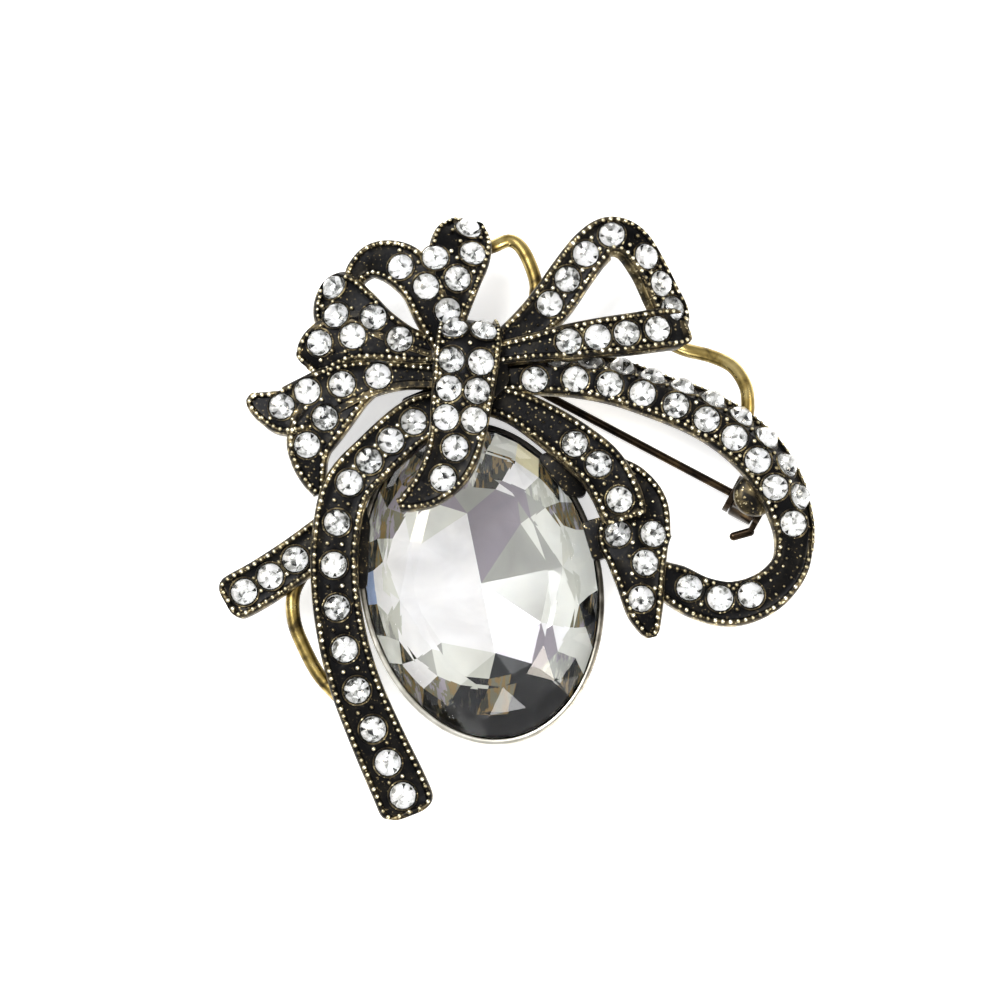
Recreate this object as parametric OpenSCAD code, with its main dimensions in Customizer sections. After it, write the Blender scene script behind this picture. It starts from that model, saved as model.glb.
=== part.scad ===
/* [Bow] */
// Width of the bow across its side loops
bow_w = 57.4; // [54:0.2:64]
// Length of the bow from the top loops to the end of the long tail
bow_l = 58.8; // [56:0.2:66]
// Height of the casting's back above the surface that the brooch lies on
stand_h = 4.4; // [4.2:0.1:5.4]
// Height of the knot's back above the casting's back
relief_h = 4.5; // [4.2:0.1:6]

/* [Ribbon] */
// Thickness of the cast ribbon
ribbon_t = 1.4; // [1.3:0.05:1.7]
// Width of the raised edge along each side
rim_w = 0.55; // [0.4:0.05:0.7]
// Height of the raised edge over the ribbon's floor
rim_h = 0.45; // [0.3:0.05:0.6]
// Room between a stone and the raised edge beside it
side_room = 0.4; // [0.3:0.05:0.6]

/* [Small stones] */
// Diameter of a small round stone
gem_d = 2.6; // [2.3:0.05:2.7]
// Height of a small stone's crown
crown_h = 0.75; // [0.5:0.05:1]
// Depth of a small stone below its girdle
pavilion_h = 0.7; // [0.5:0.05:0.75]
// Width of the table facet
table_d = 1.45; // [1.2:0.05:1.6]
// Gap between a stone and its seat
seat_gap = 0.1; // [0.08:0.01:0.14]

/* [Oval stone] */
// Width of the oval stone
oval_w = 22; // [20:0.5:22.5]
// Length of the oval stone
oval_l = 30.2; // [28:0.2:31.4]
// Height of its girdle above the surface
girdle_z = 4.9; // [4.8:0.1:5.4]
// Height of its crown
oval_crown_h = 3.6; // [2.8:0.1:3.8]
// Depth of its pavilion
oval_pavilion_h = 3.6; // [3:0.1:3.7]
// Lean of its long axis to the left
oval_lean = 11.5; // [8:0.5:15]
// Thickness of the cup's wall
cup_wall = 0.5; // [0.4:0.05:0.8]
// Height of the cup's rim above the girdle
cup_lip = 0.45; // [0.3:0.05:0.6]
// Gap between the oval stone and its cup
cup_gap = 0.12; // [0.1:0.01:0.2]

/* [Pin and catch] */
// Diameter of the pin wire
pin_d = 0.8; // [0.7:0.05:0.9]
// Diameter of the catch housing and of the hinge ears
catch_d = 4; // [3.9:0.05:4.1]
// Length of the catch housing along the pin
catch_l = 2.4; // [2:0.1:3]
// Wall of the catch housing
catch_wall = 0.45; // [0.4:0.05:0.5]
// Wall of the turning ring
ring_wall = 0.65; // [0.5:0.05:0.7]
// Reach of the catch lever from the pin's axis
lever_l = 3.7; // [3.4:0.1:4.4]
// Diameter of the cross pin in the hinge
cross_d = 0.7; // [0.6:0.05:0.8]
// Outer diameter of the pin's barrel
barrel_d = 1.9; // [1.7:0.05:2.1]
// Length of the pin's barrel
barrel_l = 1.6; // [1.3:0.1:2]
// Thickness of the stamped metal of the findings
plate_t = 0.55; // [0.45:0.05:0.65]
// Length of the pin's tapered point
point_l = 4.4; // [3:0.1:5]
// Reach of the point beyond the middle of the catch
tip_l = 2.4; // [2:0.1:2.8]
// Width of the slot that the pin enters the catch by
mouth_w = 1.4; // [1.3:0.05:1.5]
// Radial clearance of the turning parts
run_gap = 0.08; // [0.06:0.01:0.1]

/* [Braces] */
// Diameter of the brace wires
brace_d = 1.25; // [1:0.05:1.5]

/* [Hidden] */

brass = [0.42, 0.36, 0.2];
glass = [0.9, 0.92, 0.95];
steel = [0.35, 0.3, 0.22];

// Width of a ribbon that holds one row of stones
band_w = gem_d + 2 * (rim_w + side_room);
// Centre to centre distance of stones that lie close together
gem_pitch = gem_d + 0.2;
// Gap between pieces that are fixed to each other
seam = 0.05;
// End play of the turning parts
end_gap = 0.12;
// Height of the pin's axis, with the catch housing resting on the surface
pin_z = catch_d / 2;
// Steps that each row interval of a ribbon is smoothed into
steps = 2;

// Section of a ribbon: width of its back as a share of the whole,
// and height of its widest line as a share of the thickness
back_share = 0.82;
belly_share = 0.35;
// Sides of a small stone
gem_n = 8;
// Sides of the cup and of the oval stone
cup_n = 32;
oval_n = 16;
// Half thickness of the oval stone's girdle
girdle_t = 0.15;
// Insets of the oval stone's rings: culet, pavilion, crown and table
culet_in = 8.4;
pavilion_in = 3;
crown_in = 2.2;
oval_table_in = 5.2;
// Shares of the pavilion's depth and of the crown's height where its second ring lies
pavilion_share = 0.45;
crown_share = 0.56;
// Inset of the cup's flat foot, depth of its upright wall below the girdle,
// depth of the bend under it, and how far the cup's hollow goes past the culet
foot_in = 5;
wall_down = 1;
bend_down = 2.4;
culet_room = 1;
// Room between the oval stone and the hollow under its girdle and over its crown
girdle_gap = 3 * cup_gap;
crown_gap = 4 * cup_gap;
// Free room over a small stone
over_gap = 3 * seat_gap;
// Least half width of a ribbon
least_half = 1.05 * rim_w;
// Diameter of the pin's tip
tip_d = pin_d / 4;
// Sides of a wire
wire_n = 8;
// Radius of the corners of a web and of the lump behind the knot, and its height
web_r = 0.6;
core_r = 1;
core_h = 0.8 * relief_h;
// Width of the catch's block, and how far the casting's pad goes past it
block_w = 2.8;
pad_edge = 0.2;
pad_w = 4.6;
// Width of the foot of a hinge ear, and length of the hinge's base
ear_w = 2.4;
base_l = 4;
// Width of the lever's arm, diameter of its rod and how far the rod leans back
arm_w = 1.2;
rod_d = 0.85;
rod_back = 1.2;

// Shares of the middle of the bow's outline, which stands at the origin
middle = [-0.002, 0.0105];

// A ribbon is a table of sections. Each row has these columns:
// x and y as shares of bow_w and bow_l,
// height of the ribbon's back, as a share of relief_h over the casting's back,
// width as a share of band_w, roll of the section (right side down) in degrees,
// and how far its left and its right half bend down from the middle, in degrees.
X = 0;
Y = 1;
HIGH = 2;
WIDE = 3;
ROLL = 4;
BEND_L = 5;
BEND_R = 6;

knot = [
    [-0.080,  0.318, 0.50, 1.15, 0, 10, 10],
    [-0.080,  0.304, 0.82, 1.25, 0, 10, 10],
    [-0.082,  0.274, 1.00, 1.28, 0, 10, 10],
    [-0.087,  0.226, 1.00, 1.24, 0, 10, 10],
    [-0.093,  0.178, 0.96, 1.18, 0, 10, 10],
    [-0.100,  0.128, 0.88, 1.08, 0,  5,  5],
    [-0.116,  0.082, 0.80, 1.00, 0,  0,  0],
    [-0.146,  0.046, 0.75, 0.76, 0,  0,  0],
    [-0.178,  0.026, 0.73, 0.42, 0,  0,  0],
    [-0.195,  0.019, 0.72, 0.15, 0,  0,  0]
];
top_fan_right = [
    [-0.118,  0.290, 0.30, 0.60, 0, 0, 0],
    [-0.113,  0.338, 0.42, 0.75, 0, 0, 5],
    [-0.105,  0.386, 0.66, 1.05, 0, 0, 8],
    [-0.098,  0.424, 0.60, 1.28, 0, 0, 10],
    [-0.093,  0.454, 0.42, 1.28, 0, 0, 10],
    [-0.089,  0.474, 0.20, 1.00, 0, 0, 10],
    [-0.087,  0.486, 0.05, 0.50, 0, 0, 0]
];
top_fan_left = [
    [-0.124,  0.284, 0.50, 0.45, 0, 0, 0],
    [-0.142,  0.336, 0.60, 0.74, 0, 0, 0],
    [-0.160,  0.380, 0.64, 0.86, 0, 5, 0],
    [-0.186,  0.412, 0.58, 0.94, 0, 5, 0],
    [-0.215,  0.428, 0.42, 0.84, 0, 5, 0],
    [-0.244,  0.431, 0.24, 0.60, 0, 5, 0],
    [-0.268,  0.420, 0.10, 0.30, 0, 0, 0]
];
left_fan_upper = [
    [-0.130,  0.278, 0.45, 0.40, 0, 0, 0],
    [-0.180,  0.295, 0.50, 0.46, 0, 0, 0],
    [-0.226,  0.320, 0.52, 0.62, 0, 0, 0],
    [-0.262,  0.346, 0.46, 0.84, 0, 0, 0],
    [-0.290,  0.366, 0.30, 0.98, 0, 0, 0],
    [-0.308,  0.377, 0.12, 0.78, 0, 0, 0],
    [-0.318,  0.383, 0.02, 0.38, 0, 0, 0]
];
left_fan_lower = [
    [-0.130,  0.274, 0.45, 0.50, 0, 0, 0],
    [-0.180,  0.284, 0.48, 0.75, 0, 0, 0],
    [-0.232,  0.296, 0.50, 0.96, 0, 0, 0],
    [-0.276,  0.300, 0.46, 1.08, 0, 0, 0],
    [-0.310,  0.292, 0.34, 1.08, 0, 0, 0],
    [-0.336,  0.276, 0.20, 0.90, 0, 0, 0],
    [-0.350,  0.262, 0.10, 0.45, 0, 0, 0]
];
left_tail_upper = [
    [-0.130,  0.236, 0.28, 0.45, 0, 0, 0],
    [-0.195,  0.238, 0.30, 0.55, 0, 0, 0],
    [-0.255,  0.232, 0.30, 0.80, 0, 0, 0],
    [-0.310,  0.214, 0.28, 1.00, 0, 0, 0],
    [-0.350,  0.194, 0.24, 1.06, 0, 0, 0],
    [-0.386,  0.180, 0.18, 1.00, 0, 0, 0],
    [-0.416,  0.186, 0.12, 0.70, 0, 0, 0],
    [-0.438,  0.196, 0.06, 0.42, 0, 0, 0],
    [-0.448,  0.204, 0.04, 0.20, 0, 0, 0]
];
left_tail_lower = [
    [-0.250,  0.228, 0.30, 0.70, 0, 0, 0],
    [-0.286,  0.208, 0.28, 0.98, 0, 0, 0],
    [-0.322,  0.172, 0.24, 1.12, 0, 0, 0],
    [-0.344,  0.136, 0.18, 1.02, 0, 0, 0],
    [-0.348,  0.104, 0.12, 0.78, 0, 0, 0],
    [-0.340,  0.070, 0.08, 0.50, 0, 0, 0],
    [-0.330,  0.046, 0.05, 0.22, 0, 0, 0]
];
long_tail = [
    [-0.120,  0.182, 0.30, 0.85, 0, 0, 0],
    [-0.171,  0.160, 0.34, 0.98, 0, 0, 0],
    [-0.234,  0.106, 0.36, 1.00, 0, 5, 5],
    [-0.284,  0.050, 0.34, 1.00, 0, 5, 5],
    [-0.302, -0.030, 0.30, 0.98, 0, 5, 5],
    [-0.302, -0.110, 0.26, 0.98, 0, 5, 5],
    [-0.290, -0.190, 0.20, 1.00, 0, 5, 5],
    [-0.267, -0.270, 0.14, 1.04, 0, 5, 5],
    [-0.233, -0.350, 0.06, 1.10, 0, 5, 5],
    [-0.196, -0.428, 0.00, 1.16, 0, 5, 5],
    [-0.181, -0.462, 0.00, 1.14, 0, 5, 5],
    [-0.175, -0.477, 0.00, 0.92, 0, 5, 5]
];
short_tail = [
    [-0.310, -0.016, 0.00, 0.85, 0, 5, 5],
    [-0.368, -0.062, 0.00, 0.93, 0, 5, 5],
    [-0.425, -0.100, 0.00, 0.96, 0, 5, 5],
    [-0.468, -0.124, 0.00, 0.96, 0, 5, 5],
    [-0.486, -0.134, 0.00, 0.80, 0, 5, 5]
];
right_tail = [
    [-0.050,  0.200, 0.30, 0.60, 0, 0, 0],
    [ 0.000,  0.184, 0.32, 0.70, 0, 0, 0],
    [ 0.052,  0.154, 0.34, 0.84, 0, 0, 0],
    [ 0.099,  0.120, 0.38, 0.94, 0, 0, 0],
    [ 0.138,  0.086, 0.42, 0.98, 0, 0, 0],
    [ 0.162,  0.048, 0.44, 0.98, 0, 0, 0],
    [ 0.174,  0.020, 0.42, 0.95, 0, 0, 0],
    [ 0.179,  0.006, 0.36, 0.80, 0, 0, 0]
];
right_tail_fold = [
    [ 0.165,  0.088, 0.06, 0.50, 0, 0, 0],
    [ 0.190,  0.060, 0.08, 0.85, 0, 0, 0],
    [ 0.205,  0.022, 0.12, 1.20, 0, 5, 5],
    [ 0.196, -0.022, 0.18, 1.60, 0, 12, 12],
    [ 0.200, -0.062, 0.20, 1.28, 0, 10, 10],
    [ 0.206, -0.104, 0.18, 0.98, 0, 5, 5],
    [ 0.212, -0.146, 0.12, 0.72, 0, 0, 0],
    [ 0.220, -0.176, 0.06, 0.40, 0, 0, 0],
    [ 0.223, -0.188, 0.04, 0.20, 0, 0, 0]
];
upper_loop_back = [
    [-0.020,  0.292, 0.30, 0.60, 0, 0, 0],
    [ 0.022,  0.322, 0.30, 0.80, 0, 0, 0],
    [ 0.060,  0.362, 0.30, 0.88, 0, 0, 0],
    [ 0.094,  0.410, 0.36, 0.88, 0, 0, 0],
    [ 0.125,  0.448, 0.42, 0.86, 0, 0, 0],
    [ 0.156,  0.466, 0.50, 0.84, -5, 0, 0],
    [ 0.187,  0.454, 0.50, 0.82, -20, 0, 0],
    [ 0.212,  0.418, 0.38, 0.82, -30, 0, 0],
    [ 0.234,  0.378, 0.18, 0.84, -30, 0, 0],
    [ 0.254,  0.342, 0.04, 0.82, -20, 0, 0],
    [ 0.258,  0.316, 0.02, 0.68, 0, 0, 0]
];
upper_loop_front = [
    [-0.040,  0.268, 0.45, 0.50, 0, 0, 0],
    [ 0.020,  0.276, 0.56, 0.62, 0, 0, 0],
    [ 0.080,  0.286, 0.60, 0.78, 0, 0, 0],
    [ 0.140,  0.296, 0.60, 0.82, 0, 0, 0],
    [ 0.195,  0.304, 0.58, 0.84, 0, 0, 0],
    [ 0.238,  0.312, 0.46, 0.86, 0, 0, 0],
    [ 0.260,  0.316, 0.28, 0.80, 0, 0, 0],
    [ 0.268,  0.318, 0.16, 0.50, 0, 0, 0]
];
big_loop = [
    [-0.040,  0.246, 0.30, 0.90, 0, 50, 0],
    [ 0.030,  0.250, 0.34, 1.08, 0, 55, 0],
    [ 0.100,  0.248, 0.36, 1.16, 0, 60, 0],
    [ 0.170,  0.238, 0.36, 1.24, 0, 60, 0],
    [ 0.240,  0.218, 0.36, 1.32, 0, 60, 0],
    [ 0.310,  0.192, 0.34, 1.38, 0, 58, 0],
    [ 0.368,  0.158, 0.32, 1.40, 0, 55, 0],
    [ 0.416,  0.114, 0.30, 1.38, 0, 52, 0],
    [ 0.447,  0.064, 0.28, 1.28, 0, 50, 0],
    [ 0.461,  0.012, 0.26, 1.04, 0, 40, 0],
    [ 0.463, -0.036, 0.24, 0.82, 0, 20, 0],
    [ 0.452, -0.080, 0.20, 0.78, 0, 10, 5],
    [ 0.414, -0.118, 0.14, 0.86, 0, 5, 5],
    [ 0.360, -0.136, 0.08, 0.92, 0, 5, 5],
    [ 0.308, -0.127, 0.04, 0.90, 0, 5, 5],
    [ 0.264, -0.104, 0.00, 0.82, 0, 0, 0],
    [ 0.236, -0.088, 0.00, 0.60, 0, 0, 0]
];

// Brace wires: x and y shares, and height as a share of relief_h
top_brace = [
    [-0.046, 0.456, 0.15], [-0.014, 0.472, 0.15], [0.006, 0.462, 0.15], [0.022, 0.434, 0.15],
    [0.033, 0.398, 0.15], [0.030, 0.362, 0.20]
];
right_brace = [
    [0.236, 0.284, 0.20], [0.284, 0.282, 0.15], [0.330, 0.275, 0.15], [0.364, 0.255, 0.15],
    [0.384, 0.225, 0.15], [0.390, 0.190, 0.20]
];
left_brace = [
    [-0.352, -0.074, 0.05], [-0.374, -0.118, 0.05], [-0.372, -0.164, 0.05],
    [-0.355, -0.206, 0.05], [-0.330, -0.250, 0.05], [-0.298, -0.282, 0.05]
];

// Rows of stones: first and last place as shares of the ribbon's length,
// pitch as a share of gem_d, place across as a share of the half width (right side positive)
long_tail_rows = [[0.075, 0.262, 1.13, 0], [0.352, 0.712, 1.56, 0], [0.80, 0.955, 1.45, 0]];
short_tail_rows = [[0.36, 0.83, 1.17, 0]];
right_tail_rows = [[0.535, 0.545, 1.27, 0], [0.70, 0.91, 1.9, 0]];
upper_loop_back_rows = [[0.223, 0.573, 1.22, 0], [0.700, 0.916, 1.12, -0.1]];
upper_loop_front_rows = [[0.40, 0.848, 1.14, 0]];
loop_outer_rows = [[0.115, 0.612, 1.18, -0.50], [0.822, 0.94, 1.13, 0.2]];
loop_inner_rows = [[0.074, 0.074, 1, 0.50], [0.147, 0.585, 1.25, 0.42], [0.658, 0.658, 1, 0.1]];

// Single stones: distance from the ribbon's start in pitches, place across as above
knot_spots = [
    [0.76, 0.5], [0.76, -0.5], [1.69, 0.5], [1.67, -0.5], [2.66, 0.5], [2.64, -0.5],
    [3.63, 0.5], [3.61, -0.54], [4.62, -0.05], [5.72, -0.2]
];
top_fan_right_spots = [
    [1.25, -0.1], [2.25, 0.10], [1.90, -1.16], [3.13, 0.42], [2.74, -0.80], [4.08, 0.1]
];
top_fan_left_spots = [[3.08, -0.12]];
left_fan_upper_spots = [[2.50, 0.04], [4.16, 0.24], [3.50, -0.9]];
left_fan_lower_spots = [[1.45, 0.2], [2.96, 0], [4.03, 0.25]];
left_tail_upper_spots = [[2.1, 0], [3.36, 0.05], [4.5, 0.4], [5.6, 0.2]];
left_tail_lower_spots = [[1.95, -0.08], [3.02, 0.1]];
right_tail_fold_spots = [[2.65, 0.45], [2.6, -0.5], [3.65, -0.25], [4.8, 0.1]];

// Corners of the flat webs between the cup and the tails: on the tail as shares,
// and on the cup's wall as angles from the right end of its width
right_web = [[0.076, 0.112], [0.108, 0.074], [0.106, 0.050]];
right_web_cup = [27, 42];
tail_web = [[-0.262, 0.020], [-0.280, -0.100], [-0.284, 0.000]];
tail_web_cup = [151, 172];
// Corners of the flat web between the knot and the long tail
left_web = [[-0.184, 0.196], [-0.140, 0.214], [-0.126, 0.190]];
// Corners of the lump behind the knot
core = [[-0.128, 0.300], [-0.040, 0.304], [-0.030, 0.230], [-0.060, 0.196], [-0.120, 0.196]];

// Places of the hinge and the catch, as shares of bow_w and bow_l
hinge_at = [-0.066, 0.282];
catch_at = [0.393, 0.041];
// Middle of the oval stone
oval_at = [-0.060, -0.099];

// Height of a ribbon's back for a share of the relief
function rise(share) = stand_h + share * relief_h;

// Place of a pair of shares, from the middle of the bow
function spot_at(p) = [(p[X] - middle[X]) * bow_w, (p[Y] - middle[Y]) * bow_l];

// Direction of a vector
function unit(v) = v / norm(v);

// Smooth row between the rows of a table
function row_at(rows, u) =
    let (
        i = min(floor(u), len(rows) - 2),
        f = u - i,
        b = rows[i],
        c = rows[i + 1],
        a = i > 0 ? rows[i - 1] : 2 * b - c,
        d = i + 2 < len(rows) ? rows[i + 2] : 2 * c - b
    )
    (2 * b + (c - a) * f + (2 * a - 5 * b + 4 * c - d) * f * f
        + (3 * b - a - 3 * c + d) * f * f * f) / 2;

// Point on the middle of the ribbon's back
function back_at(rows, u) =
    let (r = row_at(rows, u))
    [each spot_at(r), rise(r[HIGH])];

// Frame of the ribbon: point, direction to the right, direction along, direction out of its face
function frame_at(rows, u) =
    let (
        e = 0.02,
        last = len(rows) - 1,
        t = unit(back_at(rows, min(u + e, last)) - back_at(rows, max(u - e, 0))),
        s = unit([t[1], -t[0], 0]),
        n = cross(s, t),
        roll = row_at(rows, u)[ROLL]
    )
    [back_at(rows, u), s * cos(roll) - n * sin(roll), t, n * cos(roll) + s * sin(roll)];

// Point of a section turned down about the middle of the ribbon's floor
function bent(p, left, right) =
    let (a = p[0] > 0 ? right : -left, h = p[1] - ribbon_t)
    [p[0] * cos(a) + h * sin(a), ribbon_t - p[0] * sin(a) + h * cos(a)];

// Section of the ribbon: across and up from the middle of its back
function section(half, rim_l, rim_r) = [
    [-back_share * half, 0],
    [back_share * half, 0],
    [half, belly_share * ribbon_t],
    [half, ribbon_t + 0.5 * rim_r],
    [half - 0.5 * rim_w, ribbon_t + rim_r],
    [half - rim_w, ribbon_t],
    [0, ribbon_t],
    [rim_w - half, ribbon_t],
    [0.5 * rim_w - half, ribbon_t + rim_l],
    [-half, ribbon_t + 0.5 * rim_l],
    [-half, belly_share * ribbon_t]
];

// Section placed on the ribbon; rims gives the share of the length where each raised edge begins
function ring_at(rows, u, rims) =
    let (
        r = row_at(rows, u),
        f = frame_at(rows, u),
        along = u / (len(rows) - 1),
        half = max(r[WIDE] * band_w / 2, least_half),
        rim_l = along < rims[0] ? 0 : rim_h,
        rim_r = along < rims[1] ? 0 : rim_h
    )
    [
        for (p = section(half, rim_l, rim_r))
            let (q = bent(p, r[BEND_L], r[BEND_R]))
            f[0] + f[1] * q[0] + f[3] * q[1]
    ];

// Solid through rings of points, all with the same number of points
module loft(rings) {
    n = len(rings[0]);
    m = len(rings);
    polyhedron(
        points = [for (ring = rings) each ring],
        faces = [
            [for (j = [n - 1:-1:0]) j],
            for (i = [0:m - 2], j = [0:n - 1])
                let (k = (j + 1) % n)
                each [
                    [i * n + j, i * n + k, (i + 1) * n + k],
                    [i * n + j, (i + 1) * n + k, (i + 1) * n + j]
                ],
            [for (j = [0:n - 1]) (m - 1) * n + j]
        ],
        convexity = 10
    );
}

module ribbon(rows, rims = [0, 0]) {
    count = (len(rows) - 1) * steps;
    loft([for (i = [0:count]) ring_at(rows, i / steps, rims)]);
}

// Table of length along the ribbon against the row parameter
function lengths(rows) =
    let (fine = 8, count = (len(rows) - 1) * fine)
    [
        for (
            i = 0, d = 0;
            i <= count;
            i = i + 1,
            d = i <= count ? d + norm(back_at(rows, i / fine) - back_at(rows, (i - 1) / fine)) : d
        )
            [d, i / fine]
    ];

function total(rows) = let (table = lengths(rows)) table[len(table) - 1][0];

// Places of a row of stones: [distance along, place across]
function row_spots(rows, lines) = [
    for (line = lines)
        let (
            from = line[0] * total(rows),
            span = line[1] * total(rows) - from,
            gaps = floor(span / (line[2] * gem_d) + 0.5)
        )
        for (i = [0:gaps]) [from + (gaps > 0 ? span * i / gaps : 0), line[3]]
];

// Places of single stones, left out where the ribbon is too short for them
function single_spots(rows, spots) = [
    for (spot = spots)
        if (spot[0] * gem_pitch < total(rows) - gem_d / 4) [spot[0] * gem_pitch, spot[1]]
];

// Puts its children on the ribbon's floor at each place
module on_ribbon(rows, spots) {
    table = lengths(rows);
    for (spot = spots) {
        u = lookup(spot[0], table);
        r = row_at(rows, u);
        f = frame_at(rows, u);
        across = spot[1] * r[WIDE] * band_w / 2;
        a = across > 0 ? r[BEND_R] : across < 0 ? -r[BEND_L] : 0;
        right = f[1] * cos(a) - f[3] * sin(a);
        out = f[3] * cos(a) + f[1] * sin(a);
        at = f[0] + f[3] * ribbon_t + right * across;
        multmatrix([
            [right[0], f[2][0], out[0], at[0]],
            [right[1], f[2][1], out[1], at[1]],
            [right[2], f[2][2], out[2], at[2]],
            [0, 0, 0, 1]
        ])
            children();
    }
}

// Ring of points of a small stone
function gem_ring(d, z, turn) = [
    for (i = [0:gem_n - 1])
        let (a = -360 * (i + turn) / gem_n)
        [d / 2 * cos(a), d / 2 * sin(a), z]
];

// Solid from a top ring over a rim down to a point below the middle
module pointed(top, rim, depth) {
    n = gem_n;
    polyhedron(
        points = [each top, each rim, [0, 0, -depth]],
        faces = [
            [for (i = [0:n - 1]) i],
            for (i = [0:n - 1])
                let (k = (i + 1) % n)
                each [[k, i, n + i], [n + k, k, n + i], [n + k, n + i, 2 * n]]
        ]
    );
}

// Round stone with a table, sixteen crown facets and a pointed back
module gem() {
    pointed(gem_ring(table_d, crown_h, 0), gem_ring(gem_d, 0, 0.5), pavilion_h);
}

// Stones lifted so that the girdle clears the floor by the seat's gap
module gems(rows, spots) {
    on_ribbon(rows, spots) translate([0, 0, seat_gap]) gem();
}

// Seat sunk into the floor under each stone, a little larger than the stone, with free room over it
module seats(rows, spots) {
    room_d = gem_d + 2 * seat_gap;
    on_ribbon(rows, spots)
        pointed(
            gem_ring(room_d, crown_h + over_gap, 0.5),
            gem_ring(room_d, 0, 0.5),
            pavilion_h * room_d / gem_d
        );
}

// Oval ring of points round the oval stone's middle, grown from the stone's outline
function oval_ring(grow, z, n, turn = 0) = [
    for (i = [0:n - 1])
        let (a = -360 * (i + turn) / n)
        [(oval_w / 2 + grow) * cos(a), (oval_l / 2 + grow) * sin(a), z]
];

module at_oval() {
    translate([each spot_at(oval_at), 0]) rotate([0, 0, oval_lean]) children();
}

// Cup with a flat foot and an upright wall
module cup() {
    grow = cup_gap + cup_wall;
    at_oval()
        loft([
            oval_ring(-foot_in, 0, cup_n),
            oval_ring(grow - cup_wall, girdle_z - bend_down, cup_n),
            oval_ring(grow, girdle_z - wall_down, cup_n),
            oval_ring(grow, girdle_z + cup_lip, cup_n)
        ]);
}

// Hollow of the cup, which follows the oval stone
module cup_room() {
    at_oval()
        loft([
            oval_ring(culet_room - culet_in, girdle_z - oval_pavilion_h - cup_gap, cup_n),
            oval_ring(cup_gap, girdle_z - girdle_t - girdle_gap, cup_n),
            oval_ring(cup_gap, girdle_z + cup_lip + cup_gap, cup_n),
            oval_ring(crown_gap - crown_in, girdle_z + crown_share * oval_crown_h + cup_gap, cup_n),
            oval_ring(crown_gap - oval_table_in, girdle_z + oval_crown_h + cup_gap, cup_n)
        ]);
}

// Oval stone: culet, pavilion, girdle, crown and table
module big_gem() {
    at_oval()
        loft([
            oval_ring(-culet_in, girdle_z - oval_pavilion_h, oval_n),
            oval_ring(-pavilion_in, girdle_z - pavilion_share * oval_pavilion_h, oval_n, 0.5),
            oval_ring(0, girdle_z - girdle_t, oval_n),
            oval_ring(0, girdle_z + girdle_t, oval_n),
            oval_ring(-crown_in, girdle_z + crown_share * oval_crown_h, oval_n, 0.5),
            oval_ring(-oval_table_in, girdle_z + oval_crown_h, oval_n)
        ]);
}

// Wire bent through the points of a brace
module brace(points) {
    at = [for (p = points) [each spot_at(p), rise(p[HIGH])]];
    for (i = [0:len(at) - 2])
        hull() {
            translate(at[i]) sphere(d = brace_d, $fn = wire_n);
            translate(at[i + 1]) sphere(d = brace_d, $fn = wire_n);
        }
}

// Places of a list of shares
function spots_at(corners) = [for (p = corners) spot_at(p)];

// Places in the middle of the cup's wall, as angles round the oval
function cup_spots(angles) = [
    for (a = angles)
        let (
            grow = cup_gap + cup_wall / 2,
            p = [(oval_w / 2 + grow) * cos(a), (oval_l / 2 + grow) * sin(a)]
        )
        spot_at(oval_at) + [
            p[0] * cos(oval_lean) - p[1] * sin(oval_lean),
            p[0] * sin(oval_lean) + p[1] * cos(oval_lean)
        ]
];

// Flat plate of metal between rounded corners
module plate(places, r, z, h) {
    hull()
        for (p = places)
            translate([each p, z]) cylinder(r = r, h = h, $fn = wire_n);
}

// Flat pad on the casting's back that carries the catch
module catch_pad() {
    at_catch()
        translate([-catch_l / 2 - pad_edge, -block_w / 2 - pad_edge, stand_h - pin_z])
            cube([catch_l + 2 * pad_edge, pad_w, ribbon_t]);
}

// Moves its children to the catch, with the pin's direction along x
module at_catch() {
    translate([each spot_at(catch_at), pin_z]) rotate([0, 0, pin_turn]) children();
}

// Direction and length of the pin, from the hinge to the catch
pin_run = spot_at(catch_at) - spot_at(hinge_at);
pin_turn = atan2(pin_run[1], pin_run[0]);
pin_l = norm(pin_run);

// Moves its children to the hinge, with the pin's direction along x
module at_hinge() {
    translate([each spot_at(hinge_at), pin_z]) rotate([0, 0, pin_turn]) children();
}

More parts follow.
